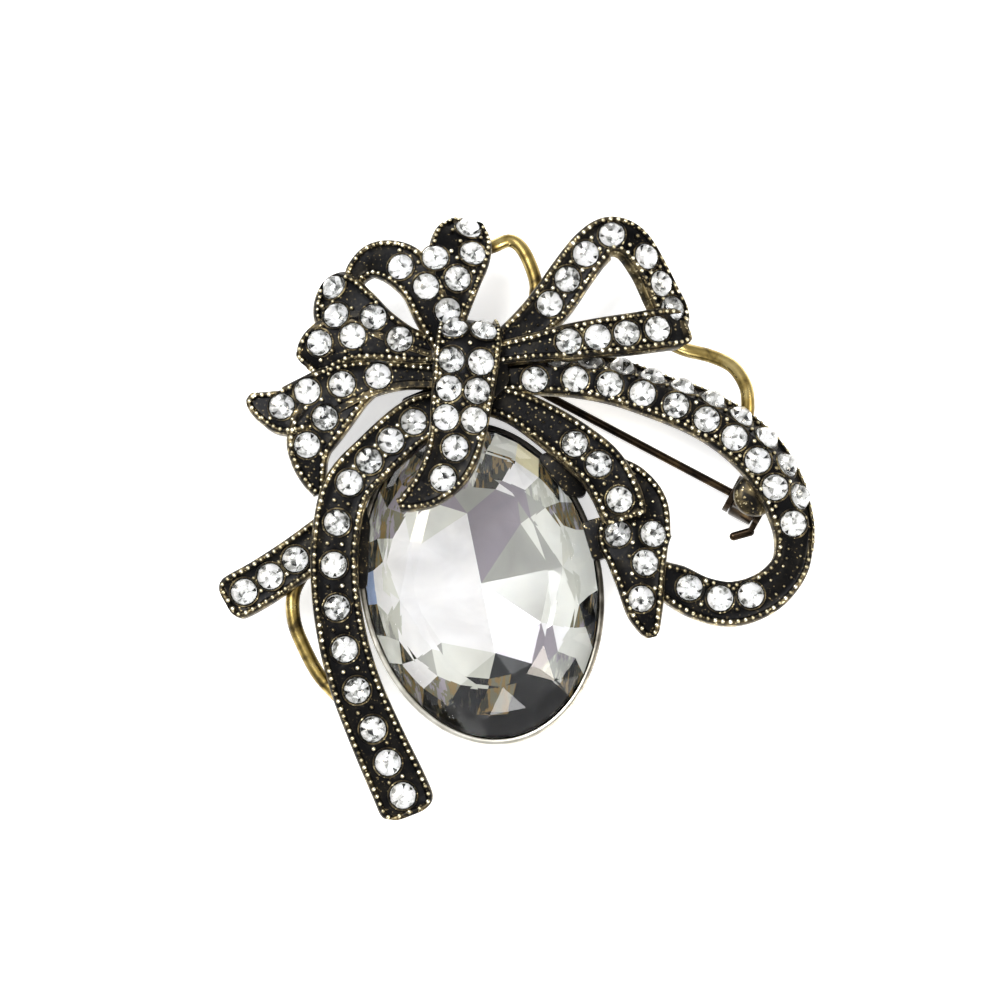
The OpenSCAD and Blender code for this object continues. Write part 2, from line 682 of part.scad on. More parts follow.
module bow_frame() {
    color(brass)
        difference() {
            union() {
                ribbon(knot);
                ribbon(top_fan_right, [0.72, 0]);
                ribbon(top_fan_left, [0, 0.9]);
                ribbon(left_fan_upper, [0.9, 0]);
                ribbon(left_fan_lower, [0, 0.85]);
                ribbon(left_tail_upper, [0.6, 0]);
                ribbon(left_tail_lower, [0, 0.4]);
                ribbon(long_tail);
                ribbon(short_tail);
                ribbon(right_tail);
                ribbon(right_tail_fold);
                ribbon(upper_loop_back);
                ribbon(upper_loop_front);
                ribbon(big_loop);
                brace(top_brace);
                brace(right_brace);
                brace(left_brace);
                cup();
                plate(spots_at(core), core_r, stand_h, core_h);
                plate([each spots_at(right_web), each cup_spots(right_web_cup)], web_r, stand_h, ribbon_t);
                plate(spots_at(left_web), web_r, stand_h, ribbon_t);
                plate(
                    [each spots_at(tail_web), each cup_spots(tail_web_cup)],
                    web_r, stand_h - ribbon_t, 2 * ribbon_t
                );
                catch_pad();
            }
            cup_room();
            seats(knot, single_spots(knot, knot_spots));
            seats(top_fan_right, single_spots(top_fan_right, top_fan_right_spots));
            seats(top_fan_left, single_spots(top_fan_left, top_fan_left_spots));
            seats(left_fan_upper, single_spots(left_fan_upper, left_fan_upper_spots));
            seats(left_fan_lower, single_spots(left_fan_lower, left_fan_lower_spots));
            seats(left_tail_upper, single_spots(left_tail_upper, left_tail_upper_spots));
            seats(left_tail_lower, single_spots(left_tail_lower, left_tail_lower_spots));
            seats(long_tail, row_spots(long_tail, long_tail_rows));
            seats(short_tail, row_spots(short_tail, short_tail_rows));
            seats(right_tail, row_spots(right_tail, right_tail_rows));
            seats(right_tail_fold, single_spots(right_tail_fold, right_tail_fold_spots));
            seats(upper_loop_back, row_spots(upper_loop_back, upper_loop_back_rows));
            seats(upper_loop_front, row_spots(upper_loop_front, upper_loop_front_rows));
            seats(big_loop, row_spots(big_loop, loop_outer_rows));
            seats(big_loop, row_spots(big_loop, loop_inner_rows));
        }
}

module oval_stone() {
    color(glass) big_gem();
}

module knot_stones() {
    color(glass) gems(knot, single_spots(knot, knot_spots));
}

module top_fan_stones() {
    color(glass) {
        gems(top_fan_right, single_spots(top_fan_right, top_fan_right_spots));
        gems(top_fan_left, single_spots(top_fan_left, top_fan_left_spots));
    }
}

module left_fan_stones() {
    color(glass) {
        gems(left_fan_upper, single_spots(left_fan_upper, left_fan_upper_spots));
        gems(left_fan_lower, single_spots(left_fan_lower, left_fan_lower_spots));
    }
}

module left_tail_stones() {
    color(glass) {
        gems(left_tail_upper, single_spots(left_tail_upper, left_tail_upper_spots));
        gems(left_tail_lower, single_spots(left_tail_lower, left_tail_lower_spots));
    }
}

module long_tail_stones() {
    color(glass) gems(long_tail, row_spots(long_tail, long_tail_rows));
}

module short_tail_stones() {
    color(glass) gems(short_tail, row_spots(short_tail, short_tail_rows));
}

module right_tail_stones() {
    color(glass) {
        gems(right_tail, row_spots(right_tail, right_tail_rows));
        gems(right_tail_fold, single_spots(right_tail_fold, right_tail_fold_spots));
    }
}

module upper_loop_stones() {
    color(glass) {
        gems(upper_loop_back, row_spots(upper_loop_back, upper_loop_back_rows));
        gems(upper_loop_front, row_spots(upper_loop_front, upper_loop_front_rows));
    }
}

module loop_outer_stones() {
    color(glass) gems(big_loop, row_spots(big_loop, loop_outer_rows));
}

module loop_inner_stones() {
    color(glass) gems(big_loop, row_spots(big_loop, loop_inner_rows));
}

// Bracket under the knot: a plate, two ears and the cross pin fixed in them
module pin_hinge() {
    ear_y = barrel_l / 2 + run_gap;
    base_z = stand_h - seam - plate_t - pin_z;
    color(steel)
        at_hinge() {
            for (side = [-1, 1])
                translate([0, side * (ear_y + plate_t / 2), 0]) {
                    rotate([90, 0, 0]) cylinder(d = catch_d, h = plate_t, center = true, $fn = 64);
                    translate([-ear_w / 2, -plate_t / 2, 0]) cube([ear_w, plate_t, base_z + plate_t]);
                }
            translate([-base_l / 2, -ear_y - plate_t, base_z]) cube([base_l, 2 * (ear_y + plate_t), plate_t]);
            rotate([90, 0, 0]) cylinder(d = cross_d, h = 2 * ear_y + plate_t, center = true, $fn = 48);
        }
}

// Pin wire on its barrel, tapered to a point through the catch
module pin_stem() {
    straight_l = pin_l + tip_l - point_l;
    color(steel)
        at_hinge()
            difference() {
                union() {
                    rotate([90, 0, 0]) cylinder(d = barrel_d, h = barrel_l, center = true, $fn = 64);
                    rotate([0, 90, 0]) cylinder(d = pin_d, h = straight_l, $fn = 48);
                    translate([straight_l, 0, 0])
                        rotate([0, 90, 0]) cylinder(d1 = pin_d, d2 = tip_d, h = point_l, $fn = 48);
                }
                rotate([90, 0, 0])
                    cylinder(d = cross_d + 2 * run_gap, h = barrel_l + 1, center = true, $fn = 48);
            }
}

// Housing of the catch: a tube on a block, open at the bottom
module catch_body() {
    base_z = stand_h - seam - pin_z;
    color(steel)
        at_catch()
            difference() {
                union() {
                    rotate([0, 90, 0]) cylinder(d = catch_d, h = catch_l, center = true, $fn = 64);
                    translate([-catch_l / 2, -block_w / 2, 0]) cube([catch_l, block_w, base_z]);
                }
                rotate([0, 90, 0])
                    cylinder(d = catch_d - 2 * catch_wall, h = catch_l + 1, center = true, $fn = 64);
                translate([-catch_l, -mouth_w / 2, -catch_d]) cube([2 * catch_l, mouth_w, catch_d]);
            }
}

// Turning ring with a collar at each end; its slot matches the mouth, and its lever
// is a flat arm on the far collar with a round rod that leans back over the housing
module catch_ring() {
    ring_d = catch_d - 2 * catch_wall - 2 * run_gap;
    collar_d = ring_d + 2 * catch_wall;
    collar_x = catch_l / 2 + end_gap + plate_t / 2;
    elbow_r = catch_d / 2 + rod_d / 2 + end_gap;
    rod_l = norm([rod_back, lever_l - elbow_r]);
    rod_lean = atan2(rod_back, lever_l - elbow_r);
    color(steel)
        at_catch()
            difference() {
                union() {
                    rotate([0, 90, 0])
                        cylinder(d = ring_d, h = 2 * collar_x + plate_t, center = true, $fn = 64);
                    for (side = [-1, 1])
                        translate([side * collar_x, 0, 0])
                            rotate([0, 90, 0]) cylinder(d = collar_d, h = plate_t, center = true, $fn = 64);
                    translate([collar_x - plate_t / 2, -elbow_r, -arm_w / 2]) cube([plate_t, elbow_r, arm_w]);
                    translate([collar_x, -elbow_r, 0]) {
                        sphere(d = rod_d, $fn = 32);
                        rotate([90, 0, -rod_lean]) {
                            cylinder(d = rod_d, h = rod_l, $fn = 32);
                            translate([0, 0, rod_l]) sphere(d = rod_d, $fn = 32);
                        }
                    }
                }
                rotate([0, 90, 0])
                    cylinder(d = ring_d - 2 * ring_wall, h = 3 * catch_l, center = true, $fn = 64);
                translate([-2 * catch_l, -mouth_w / 2, -catch_d]) cube([4 * catch_l, mouth_w, catch_d]);
            }
}

bow_frame();
oval_stone();
knot_stones();
top_fan_stones();
left_fan_stones();
left_tail_stones();
long_tail_stones();
short_tail_stones();
right_tail_stones();
upper_loop_stones();
loop_outer_stones();
loop_inner_stones();
pin_hinge();
pin_stem();
catch_body();
catch_ring();
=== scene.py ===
# %% [markdown]
# # Bow brooch in antique brass
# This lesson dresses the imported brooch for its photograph. The solids of the construction stay
# where they are. Finer pieces are modelled over them: cast ribbons with beaded edges, cut stones,
# a plain cup and wires.

# %% Load the frame
import math
import random

import bpy
import numpy as np
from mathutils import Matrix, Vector


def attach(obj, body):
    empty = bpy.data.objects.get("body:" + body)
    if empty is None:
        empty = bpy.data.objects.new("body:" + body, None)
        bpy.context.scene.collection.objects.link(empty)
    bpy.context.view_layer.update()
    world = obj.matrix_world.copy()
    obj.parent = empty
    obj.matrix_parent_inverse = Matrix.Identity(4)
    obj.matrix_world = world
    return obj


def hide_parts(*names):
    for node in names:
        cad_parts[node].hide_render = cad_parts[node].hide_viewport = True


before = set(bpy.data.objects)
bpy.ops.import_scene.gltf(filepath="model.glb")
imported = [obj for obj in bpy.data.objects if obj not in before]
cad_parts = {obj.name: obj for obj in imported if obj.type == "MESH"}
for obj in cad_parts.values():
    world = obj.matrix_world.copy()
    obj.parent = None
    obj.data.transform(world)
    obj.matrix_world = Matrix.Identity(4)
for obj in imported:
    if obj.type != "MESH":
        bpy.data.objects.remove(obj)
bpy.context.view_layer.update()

print("packed parts:", sorted(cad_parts))

# %% [markdown]
# ## Sizes
# Lengths on the brooch are in millimetres and become metres only when a mesh is written. They
# take the chatons for 2.6 mm ones, a common trade size, and all else is to the same scale, with
# a cast ribbon 1.4 mm thick. Sizes that many steps share stand here, and the others where they
# are first needed.

# %% Sizes
MM = 0.001
BOW_W, BOW_L = 57.4, 58.8
MIDDLE = (-0.002, 0.0105)
STAND_H, RELIEF_H = 4.4, 4.5
RIBBON_T = 1.4
RIM_W = 0.55
RIM_H = 0.32
SIDE_ROOM = 0.4
GEM_D = 2.6
CROWN_H = 0.75
PAVILION_H = 0.7
SEAT_GAP = 0.1
GEM_PITCH = GEM_D + 0.2
BAND_W = GEM_D + 2 * (RIM_W + SIDE_ROOM)
print("a one-row ribbon is", round(BAND_W, 2), "mm wide, its stones are", GEM_PITCH, "mm apart")

# %% [markdown]
# ## Selecting
# An operator works on what is selected, as a hand works on what it holds. A script could set the
# selection anew in each step, but these few helpers say it once: put all down, take up one piece,
# open edit mode with the whole mesh selected, and close it again.

# %% Selecting
def clear_selection():
    if bpy.context.object and bpy.context.object.mode != "OBJECT":
        bpy.ops.object.mode_set(mode="OBJECT")
    bpy.ops.object.select_all(action="DESELECT")


def activate(obj):
    clear_selection()
    obj.select_set(True)
    bpy.context.view_layer.objects.active = obj


def edit(obj):
    activate(obj)
    bpy.ops.object.mode_set(mode="EDIT")
    bpy.ops.mesh.select_all(action="SELECT")


def leave_edit():
    bpy.ops.object.mode_set(mode="OBJECT")


# %% [markdown]
# ## Camera and floor
# The brooch lies on white and is seen almost straight from above, a little from its lower end. A
# short lens close by would swell the near tail, so a long one keeps the far and near loops at one
# scale. The floor is a wide plane that belongs to the studio.

# %% Camera and floor
ELEVATION = math.radians(82)
LENS, SENSOR = 85, 36
DISTANCE = 226.7
AIM = (-1.515, 1.373, 6.0)

camera_data = bpy.data.cameras.new("camera")
camera_data.lens = LENS
camera_data.sensor_width = SENSOR
camera_data.clip_start = 0.01
camera = bpy.data.objects.new("camera", camera_data)
bpy.context.scene.collection.objects.link(camera)
back = Vector((0, -math.cos(ELEVATION), math.sin(ELEVATION)))
camera.location = (Vector(AIM) + back * DISTANCE) * MM
camera.rotation_euler = (-back).to_track_quat("-Z", "Y").to_euler()
bpy.context.scene.camera = camera
bpy.context.scene.view_settings.view_transform = "Standard"

bpy.ops.mesh.primitive_plane_add(size=2.4, location=(0, 0, 0))
floor = bpy.context.object
floor.name = "floor"
print("camera at", [round(v, 4) for v in camera.location])

# %% [markdown]
# ## Light
# Cut glass shows what stands round it. One big soft lamp hangs over the upper left, a weaker one
# opposite and a low one at the lower end, and the room itself is pale, so that the facets find
# both light and dark. Lamps are placed in metres and look at the brooch.

# %% Light
def linear(hex_colour):
    """An sRGB hex colour as the linear values that Blender works in."""
    values = [int(hex_colour[i:i + 2], 16) / 255 for i in (1, 3, 5)]
    return [v / 12.92 if v <= 0.04045 else ((v + 0.055) / 1.055) ** 2.4 for v in values] + [1.0]


def lamp(name, place, size, power, colour="#ffffff"):
    data = bpy.data.lights.new(name, "AREA")
    data.shape = "SQUARE"
    data.size = size
    data.energy = power
    data.color = linear(colour)[:3]
    obj = bpy.data.objects.new(name, data)
    bpy.context.scene.collection.objects.link(obj)
    obj.location = place
    obj.rotation_euler = (-Vector(place)).to_track_quat("-Z", "Y").to_euler()
    print(name, "of", power, "W")


lamp("key_lamp", (-0.22, 0.20, 0.46), 0.30, 3.9)
lamp("fill_lamp", (0.34, -0.16, 0.36), 0.24, 1.8, "#fff6e6")
lamp("low_lamp", (0.05, -0.42, 0.20), 0.16, 0.6)

world = bpy.data.worlds.new("room")
bpy.context.scene.world = world
world.use_nodes = True
room = world.node_tree.nodes["Background"]
room.inputs["Color"].default_value = linear("#dcdcde")
room.inputs["Strength"].default_value = 0.9

# %% [markdown]
# ## Materials and nodes
# Every finish is a small tree of nodes over one shader. One helper starts it with its constant
# values, one adds a node with its settings and links, and one puts the finishes on a piece, so
# that each finish reads as a short recipe. A noise scale counts cells in a metre: 900 gives
# grain of 1.1 mm.

# %% Materials and nodes
def material(name, constants):
    """A new material with its tree and its shader, whose own sockets hold the constants."""
    made = bpy.data.materials.new(name)
    made.use_nodes = True
    shader = made.node_tree.nodes["Principled BSDF"]
    for socket, value in constants.items():
        shader.inputs[socket].default_value = value
    return made, made.node_tree, shader


def node(tree, kind, settings=None, links=None):
    """Adds a node, sets its values by name or socket number and links its sockets."""
    made = tree.nodes.new(kind)
    for key, value in (settings or {}).items():
        if key == "stops":
            elements = made.color_ramp.elements
            while len(elements) < len(value):
                elements.new(0.5)
            for element, (place, colour) in zip(elements, value):
                element.position = place
                element.color = linear(colour) if isinstance(colour, str) else (colour, colour, colour, 1)
        elif key == "steps":
            made.color_ramp.interpolation = "CONSTANT" if value else "LINEAR"
        elif isinstance(key, int) or key in made.inputs.keys():
            made.inputs[key].default_value = value
        else:
            setattr(made, key, value)
    for key, source in (links or {}).items():
        tree.links.new(source, made.inputs[key])
    return made


def dress(obj, *materials):
    """Gives the piece its finishes and keeps which face has which."""
    kept = np.zeros(len(obj.data.polygons), int)
    obj.data.polygons.foreach_get("material_index", kept)
    obj.data.materials.clear()
    for finish in materials:
        obj.data.materials.append(finish)
    obj.data.polygons.foreach_set("material_index", np.minimum(kept, len(materials) - 1))
    obj.data.update()


# %% [markdown]
# ## The light table
# The photograph has pure white behind every opening, as over a light table. A white floor alone
# would turn grey under the ribbons, so this one of opal acrylic shines a little by itself.

# %% Light table
# Gives the even white ground, with a faint shadow close to the brooch
opal = material("acrylic_opal_light_table", {
    "Base Color": linear("#f7f7f5"), "Roughness": 0.9,
    "Emission Color": linear("#ffffff"), "Emission Strength": 0.55})[0]
dress(floor, opal)
print(opal.name)

# %% [markdown]
# ## Rubbed metal
# The casting was dipped black and rubbed, so its edges are gold and its hollows stay dark. That
# could be painted by hand, piece by piece. Here each point of a mesh keeps how far it is worn, and
# two noises, of 1.1 mm grain and 0.3 mm grit, move that value before it chooses colour and gloss.
# The beads are rubbed in the same way, and the cup has the same recipe, with tints of their own.

# %% Rubbed metal
GRIT = 3400.0


def tinted(tree, shader, value, tints, gloss):
    """Lets one value from 0 to 1 choose both the colour and the roughness."""
    for stops, socket in ((tints, "Base Color"), (gloss, "Roughness")):
        ramp = node(tree, "ShaderNodeValToRGB", {"stops": stops}, {0: value})
        tree.links.new(ramp.outputs[0], shader.inputs[socket])


def pitted(tree, shader, place, scale, strength, depth):
    """Fine pits in the surface, at most depth mm deep."""
    pits = node(tree, "ShaderNodeTexNoise", {"Scale": scale, "Detail": 3.0}, {"Vector": place})
    bumps = node(tree, "ShaderNodeBump", {"Strength": strength, "Distance": depth * MM},
                 {"Height": pits.outputs["Fac"]})
    tree.links.new(bumps.outputs["Normal"], shader.inputs["Normal"])


def rubbed_brass(name, tints, gloss, grain=900.0, spread=0.3, bump=0.25, specks=0.0):
    """Metal blackened and rubbed: the wear kept on the mesh and two noises choose the colour."""
    made, tree, shader = material(name, {"Metallic": 0.9})
    place = node(tree, "ShaderNodeTexCoord").outputs["Object"]
    wear = node(tree, "ShaderNodeAttribute", {"attribute_name": "wear"}).outputs["Fac"]
    cloud = node(tree, "ShaderNodeTexNoise", {"Scale": grain, "Detail": 5.0}, {"Vector": place})
    shift = node(tree, "ShaderNodeMapRange",
                 {"From Min": 0.3, "From Max": 0.7, "To Min": -spread, "To Max": spread},
                 {"Value": cloud.outputs["Fac"]})
    grit = node(tree, "ShaderNodeTexNoise", {"Scale": GRIT, "Detail": 2.0}, {"Vector": place})
    speck = node(tree, "ShaderNodeMapRange",
                 {"From Min": 0.6, "From Max": 0.72, "To Min": 0.0, "To Max": specks},
                 {"Value": grit.outputs["Fac"]})
    worn = node(tree, "ShaderNodeMath", {"operation": "ADD"}, {0: wear, 1: shift.outputs["Result"]})
    total = node(tree, "ShaderNodeMath", {"operation": "ADD", "use_clamp": True},
                 {0: worn.outputs[0], 1: speck.outputs["Result"]})
    tinted(tree, shader, total.outputs[0], tints, [(0.0, gloss[0]), (1.0, gloss[1])])
    pitted(tree, shader, place, grain * 4.0, bump, 0.06)
    print(name)
    return made


# Gives the black floors, the brown walls and the gold edges of the casting
cast_brass = rubbed_brass(
    "brass_cast_blackened_and_rubbed",
    [(0.0, "#0a0a0b"), (0.35, "#1a1814"), (0.6, "#4a412e"), (0.85, "#9a8b66"), (1.0, "#d6caa4")],
    (0.42, 0.3), specks=0.62)
# Gives the pale tips of the beads over their dark roots
bead_brass = rubbed_brass(
    "brass_beads_rubbed_bright",
    [(0.0, "#0d0c0a"), (0.4, "#2a251b"), (0.6, "#7b7156"), (0.8, "#c8bf9e"), (1.0, "#f6f2e4")],
    (0.4, 0.24), spread=0.22, bump=0.1)
# Gives the satin cup: grey metal at its lower end, black at its upper end
cup_silver = rubbed_brass(
    "nickel_plate_satin_blackened",
    [(0.0, "#12110f"), (0.35, "#2c2923"), (0.6, "#77736a"), (0.8, "#b3b0a5"), (1.0, "#d5d3c9")],
    (0.42, 0.28), grain=700.0, spread=0.14, bump=0.1)

# %% [markdown]
# ## Clouded finishes
# Drawn wire tarnishes in patches 2 to 3 mm wide, stamped bronze in patches of 1.5 mm, and old
# glass has a haze that is hardly seen. All three are one cloudy noise that chooses colour and
# gloss, so they share a recipe. The pits of the bronze are drawn 0.4 mm wide, because real ones
# are too fine to show.

# %% Clouded finishes
def clouded(name, constants, noise, tints, gloss, pits=None):
    """A finish that drifts between tints and glosses, with pits (scale, strength, depth) or none."""
    made, tree, shader = material(name, constants)
    place = node(tree, "ShaderNodeTexCoord").outputs["Object"]
    cloud = node(tree, "ShaderNodeTexNoise", noise, {"Vector": place})
    tinted(tree, shader, cloud.outputs["Fac"], tints, gloss)
    if pits:
        pitted(tree, shader, place, *pits)
    print(name)
    return made


# Gives the yellow wire braces, drawn bright with a dark tarnish in patches
wire_brass = clouded(
    "brass_wire_drawn_and_tarnished", {"Metallic": 1.0}, {"Scale": 420.0, "Detail": 5.0, "Distortion": 0.6},
    [(0.35, "#3f3520"), (0.5, "#94804a"), (0.7, "#c9b67c")], [(0.3, 0.42), (0.7, 0.2)])
# Gives the dark brown pin and catch, stamped and drawn, with a satin surface
dark_bronze = clouded(
    "bronze_stamped_dark_satin", {"Metallic": 0.95}, {"Scale": 650.0, "Detail": 6.0},
    [(0.3, "#15110d"), (0.55, "#372c21"), (0.8, "#6a5638")], [(0.3, 0.36), (0.7, 0.2)], (2600.0, 0.2, 0.05))
# Gives the clear crown of every stone, cut and polished
clear_glass = clouded(
    "glass_cut_and_polished", {"Transmission Weight": 1.0, "IOR": 1.52}, {"Scale": 350.0, "Detail": 4.0},
    [(0.3, "#f4f6fa"), (0.7, "#ffffff")], [(0.45, 0.0), (0.8, 0.05)])

# %% [markdown]
# ## Foil behind the stones
# Glass stones get their life from silver foil behind them, in which each back facet mirrors
# another part of the room. Clean mirrors would be lost in the small stones, so every back facet
# keeps a tone of its own, a painted reflection of the room. Flecks shift it, as small cuts and
# dust do: 0.4 mm wide in the small stones and drawn out to 3 mm in the oval.

# %% Foil behind the stones
def foil(name, tints, gloss, metallic, cloud_size, flecks, reach):
    """Silver foil behind a stone. The tone kept on each face, its painted reflection, chooses its step
    of the ramp. Flecks move the tone by up to reach times the face's own share of flecks."""
    made, tree, shader = material(name, {"Metallic": metallic, "Roughness": gloss})
    place = node(tree, "ShaderNodeTexCoord").outputs["Object"]
    tone = node(tree, "ShaderNodeAttribute", {"attribute_name": "tone"}).outputs["Fac"]
    cloud = node(tree, "ShaderNodeTexNoise", {"Scale": cloud_size, "Detail": 3.0, "Distortion": 0.8},
                 {"Vector": place})
    shade = node(tree, "ShaderNodeValToRGB", {"stops": [(0.3, 0.75), (0.55, 1.0)]},
                 {0: cloud.outputs["Fac"]})
    stretched = node(tree, "ShaderNodeMapping", {"Scale": flecks}, {"Vector": place})
    fleck = node(tree, "ShaderNodeTexNoise", {"Scale": 1.0, "Detail": 3.0},
                 {"Vector": stretched.outputs["Vector"]})
    shift = node(tree, "ShaderNodeMapRange",
                 {"From Min": 0.35, "From Max": 0.65, "To Min": -reach, "To Max": reach},
                 {"Value": fleck.outputs["Fac"]})
    share = node(tree, "ShaderNodeAttribute", {"attribute_name": "fleck"}).outputs["Fac"]
    moved = node(tree, "ShaderNodeMath", {"operation": "MULTIPLY_ADD", "use_clamp": True},
                 {0: shift.outputs["Result"], 1: share, 2: tone})
    step = node(tree, "ShaderNodeValToRGB", {"stops": tints, "steps": True}, {0: moved.outputs[0]})
    blend = node(tree, "ShaderNodeMix", {"data_type": "RGBA", "blend_type": "MULTIPLY", 0: 0.8},
                 {6: step.outputs[0], 7: shade.outputs[0]})
    tree.links.new(blend.outputs[2], shader.inputs["Base Color"])
    print(name)
    return made


# Gives the white, grey and dark flashes inside the small stones, painted reflections in the foil
small_foil = foil(
    "silver_foil_small",
    [(0.0, "#1c1d1c"), (0.2, "#62635f"), (0.4, "#a9aaa6"), (0.6, "#e4e5e2"), (0.8, "#ffffff")],
    0.12, 0.22, 700.0, (2400, 2400, 2400), 0.34)
# Gives the white, lilac, olive, amber and black facets of the oval, painted reflections in the
# foil, and two painted tints of its fire
oval_foil = foil(
    "silver_foil_oval",
    [(0.0, "#06080a"), (0.1, "#191c1e"), (0.2, "#3e3d31"), (0.3, "#86714a"), (0.4, "#77745f"),
     (0.5, "#9b959d"), (0.6, "#adaea8"), (0.7, "#cfd1c6"), (0.8, "#e9ebe3"), (0.9, "#ffffff"),
     (0.955, "#f8f0c8"), (0.975, "#a3b8e2")],
    0.1, 0.1, 160.0, (1700, 300, 800), 0.2)

# %% [markdown]
# ## The ribbons as tables
# A cast ribbon is a band that was modelled in wax, bent and pressed. It could be sculpted, but a
# few stations describe it, and stones and beads can then follow it. Each row gives the place on
# the bow as shares of its width and length, the height of the back as a share of the relief, the
# width as a share of a one-row band, the roll, and how far the left and the right half bend down.

# %% Tables of the ribbons
KNOT = [
    [-0.080, 0.309, 0.46, 1.24, 0, 10, 10], [-0.080, 0.298, 0.80, 1.35, 0, 10, 10],
    [-0.082, 0.272, 1.00, 1.38, 0, 10, 10], [-0.087, 0.226, 1.00, 1.34, 0, 10, 10],
    [-0.093, 0.178, 0.96, 1.27, 0, 10, 10], [-0.100, 0.128, 0.88, 1.14, 0, 5, 5],
    [-0.116, 0.082, 0.80, 1.02, 0, 0, 0], [-0.146, 0.046, 0.75, 0.76, 0, 0, 0],
    [-0.178, 0.026, 0.73, 0.42, 0, 0, 0], [-0.195, 0.019, 0.72, 0.15, 0, 0, 0]]
TOP_FAN_RIGHT = [
    [-0.118, 0.290, 0.36, 0.60, 0, 0, 0], [-0.113, 0.338, 0.50, 0.75, 0, 0, 5],
    [-0.105, 0.386, 0.66, 1.05, 0, 0, 8], [-0.098, 0.424, 0.60, 1.28, 0, 0, 10],
    [-0.093, 0.454, 0.42, 1.28, 0, 0, 10], [-0.089, 0.474, 0.20, 1.00, 0, 0, 10],
    [-0.087, 0.486, 0.05, 0.50, 0, 0, 0]]
TOP_FAN_LEFT = [
    [-0.124, 0.284, 0.50, 0.45, 0, 0, 0], [-0.142, 0.336, 0.60, 0.74, 0, 0, 0],
    [-0.160, 0.380, 0.64, 0.86, 0, 5, 0], [-0.186, 0.412, 0.58, 0.94, 0, 5, 0],
    [-0.215, 0.428, 0.42, 0.84, 0, 5, 0], [-0.244, 0.431, 0.24, 0.66, 0, 5, 0],
    [-0.268, 0.416, 0.12, 0.48, 0, 0, 0], [-0.279, 0.394, 0.06, 0.36, 0, 0, 0]]
LEFT_FAN_UPPER = [
    [-0.130, 0.278, 0.45, 0.40, 0, 0, 0], [-0.180, 0.295, 0.50, 0.46, 0, 0, 0],
    [-0.226, 0.320, 0.52, 0.62, 0, 0, 0], [-0.262, 0.346, 0.46, 0.84, 0, 0, 0],
    [-0.290, 0.366, 0.30, 0.98, 0, 0, 0], [-0.308, 0.377, 0.12, 0.78, 0, 0, 0],
    [-0.318, 0.383, 0.02, 0.38, 0, 0, 0]]
LEFT_FAN_LOWER = [
    [-0.130, 0.274, 0.45, 0.50, 0, 0, 0], [-0.180, 0.284, 0.48, 0.75, 0, 0, 0],
    [-0.232, 0.296, 0.50, 0.96, 0, 0, 0], [-0.276, 0.300, 0.46, 1.08, 0, 0, 0],
    [-0.310, 0.292, 0.34, 1.08, 0, 0, 0], [-0.336, 0.276, 0.20, 0.90, 0, 0, 0],
    [-0.350, 0.262, 0.10, 0.45, 0, 0, 0]]
LEFT_FAN_BORDER = [
    [-0.274, 0.404, 0.08, 0.24, 0, 0, 0], [-0.298, 0.402, 0.03, 0.32, 0, 0, 0],
    [-0.315, 0.390, 0.02, 0.37, 0, 0, 0], [-0.325, 0.366, 0.05, 0.40, 0, 0, 0],
    [-0.327, 0.340, 0.12, 0.38, 0, 0, 0], [-0.321, 0.316, 0.20, 0.28, 0, 0, 0]]
LEFT_TAIL_UPPER = [
    [-0.130, 0.236, 0.28, 0.45, 0, 0, 0], [-0.195, 0.238, 0.30, 0.55, 0, 0, 0],
    [-0.255, 0.232, 0.30, 0.80, 0, 0, 0], [-0.310, 0.214, 0.28, 1.00, 0, 0, 0],
    [-0.350, 0.194, 0.24, 1.06, 0, 0, 0], [-0.386, 0.180, 0.18, 1.00, 0, 0, 0],
    [-0.416, 0.186, 0.12, 0.70, 0, 0, 0], [-0.438, 0.196, 0.06, 0.42, 0, 0, 0],
    [-0.448, 0.204, 0.04, 0.20, 0, 0, 0]]
LEFT_TAIL_LOWER = [
    [-0.250, 0.228, 0.20, 0.60, 0, 0, 0], [-0.286, 0.208, 0.24, 0.95, 0, 0, 0],
    [-0.322, 0.172, 0.24, 1.12, 0, 0, 0], [-0.344, 0.136, 0.18, 1.02, 0, 0, 0],
    [-0.348, 0.104, 0.12, 0.78, 0, 0, 0], [-0.340, 0.070, 0.08, 0.50, 0, 0, 0],
    [-0.330, 0.046, 0.05, 0.22, 0, 0, 0]]
LONG_TAIL = [
    [-0.120, 0.182, 0.30, 0.85, 0, 0, 0], [-0.171, 0.160, 0.34, 0.98, 0, 0, 0],
    [-0.234, 0.106, 0.36, 1.00, 0, 5, 5], [-0.284, 0.050, 0.34, 1.00, 0, 5, 5],
    [-0.302, -0.030, 0.30, 0.98, 0, 5, 5], [-0.302, -0.110, 0.26, 0.98, 0, 5, 5],
    [-0.290, -0.190, 0.20, 1.00, 0, 5, 5], [-0.267, -0.270, 0.14, 1.04, 0, 5, 5],
    [-0.233, -0.350, 0.06, 1.10, 0, 5, 5], [-0.196, -0.428, 0.00, 1.16, 0, 5, 5],
    [-0.181, -0.462, 0.00, 1.14, 0, 5, 5], [-0.175, -0.477, 0.00, 0.92, 0, 5, 5]]
SHORT_TAIL = [
    [-0.310, -0.016, 0.00, 0.85, 0, 5, 5], [-0.368, -0.062, 0.00, 0.93, 0, 5, 5],
    [-0.425, -0.100, 0.00, 0.96, 0, 5, 5], [-0.468, -0.124, 0.00, 0.96, 0, 5, 5],
    [-0.486, -0.134, 0.00, 0.80, 0, 5, 5]]
RIGHT_TAIL = [
    [-0.050, 0.200, 0.30, 0.60, 0, 0, 0], [0.000, 0.184, 0.32, 0.70, 0, 0, 0],
    [0.052, 0.154, 0.34, 0.84, 0, 0, 0], [0.099, 0.120, 0.38, 0.94, 0, 0, 0],
    [0.138, 0.086, 0.42, 0.98, 0, 0, 0], [0.162, 0.048, 0.44, 0.98, 0, 0, 0],
    [0.174, 0.020, 0.42, 0.95, 0, 0, 0], [0.179, 0.006, 0.36, 0.80, 0, 0, 0]]
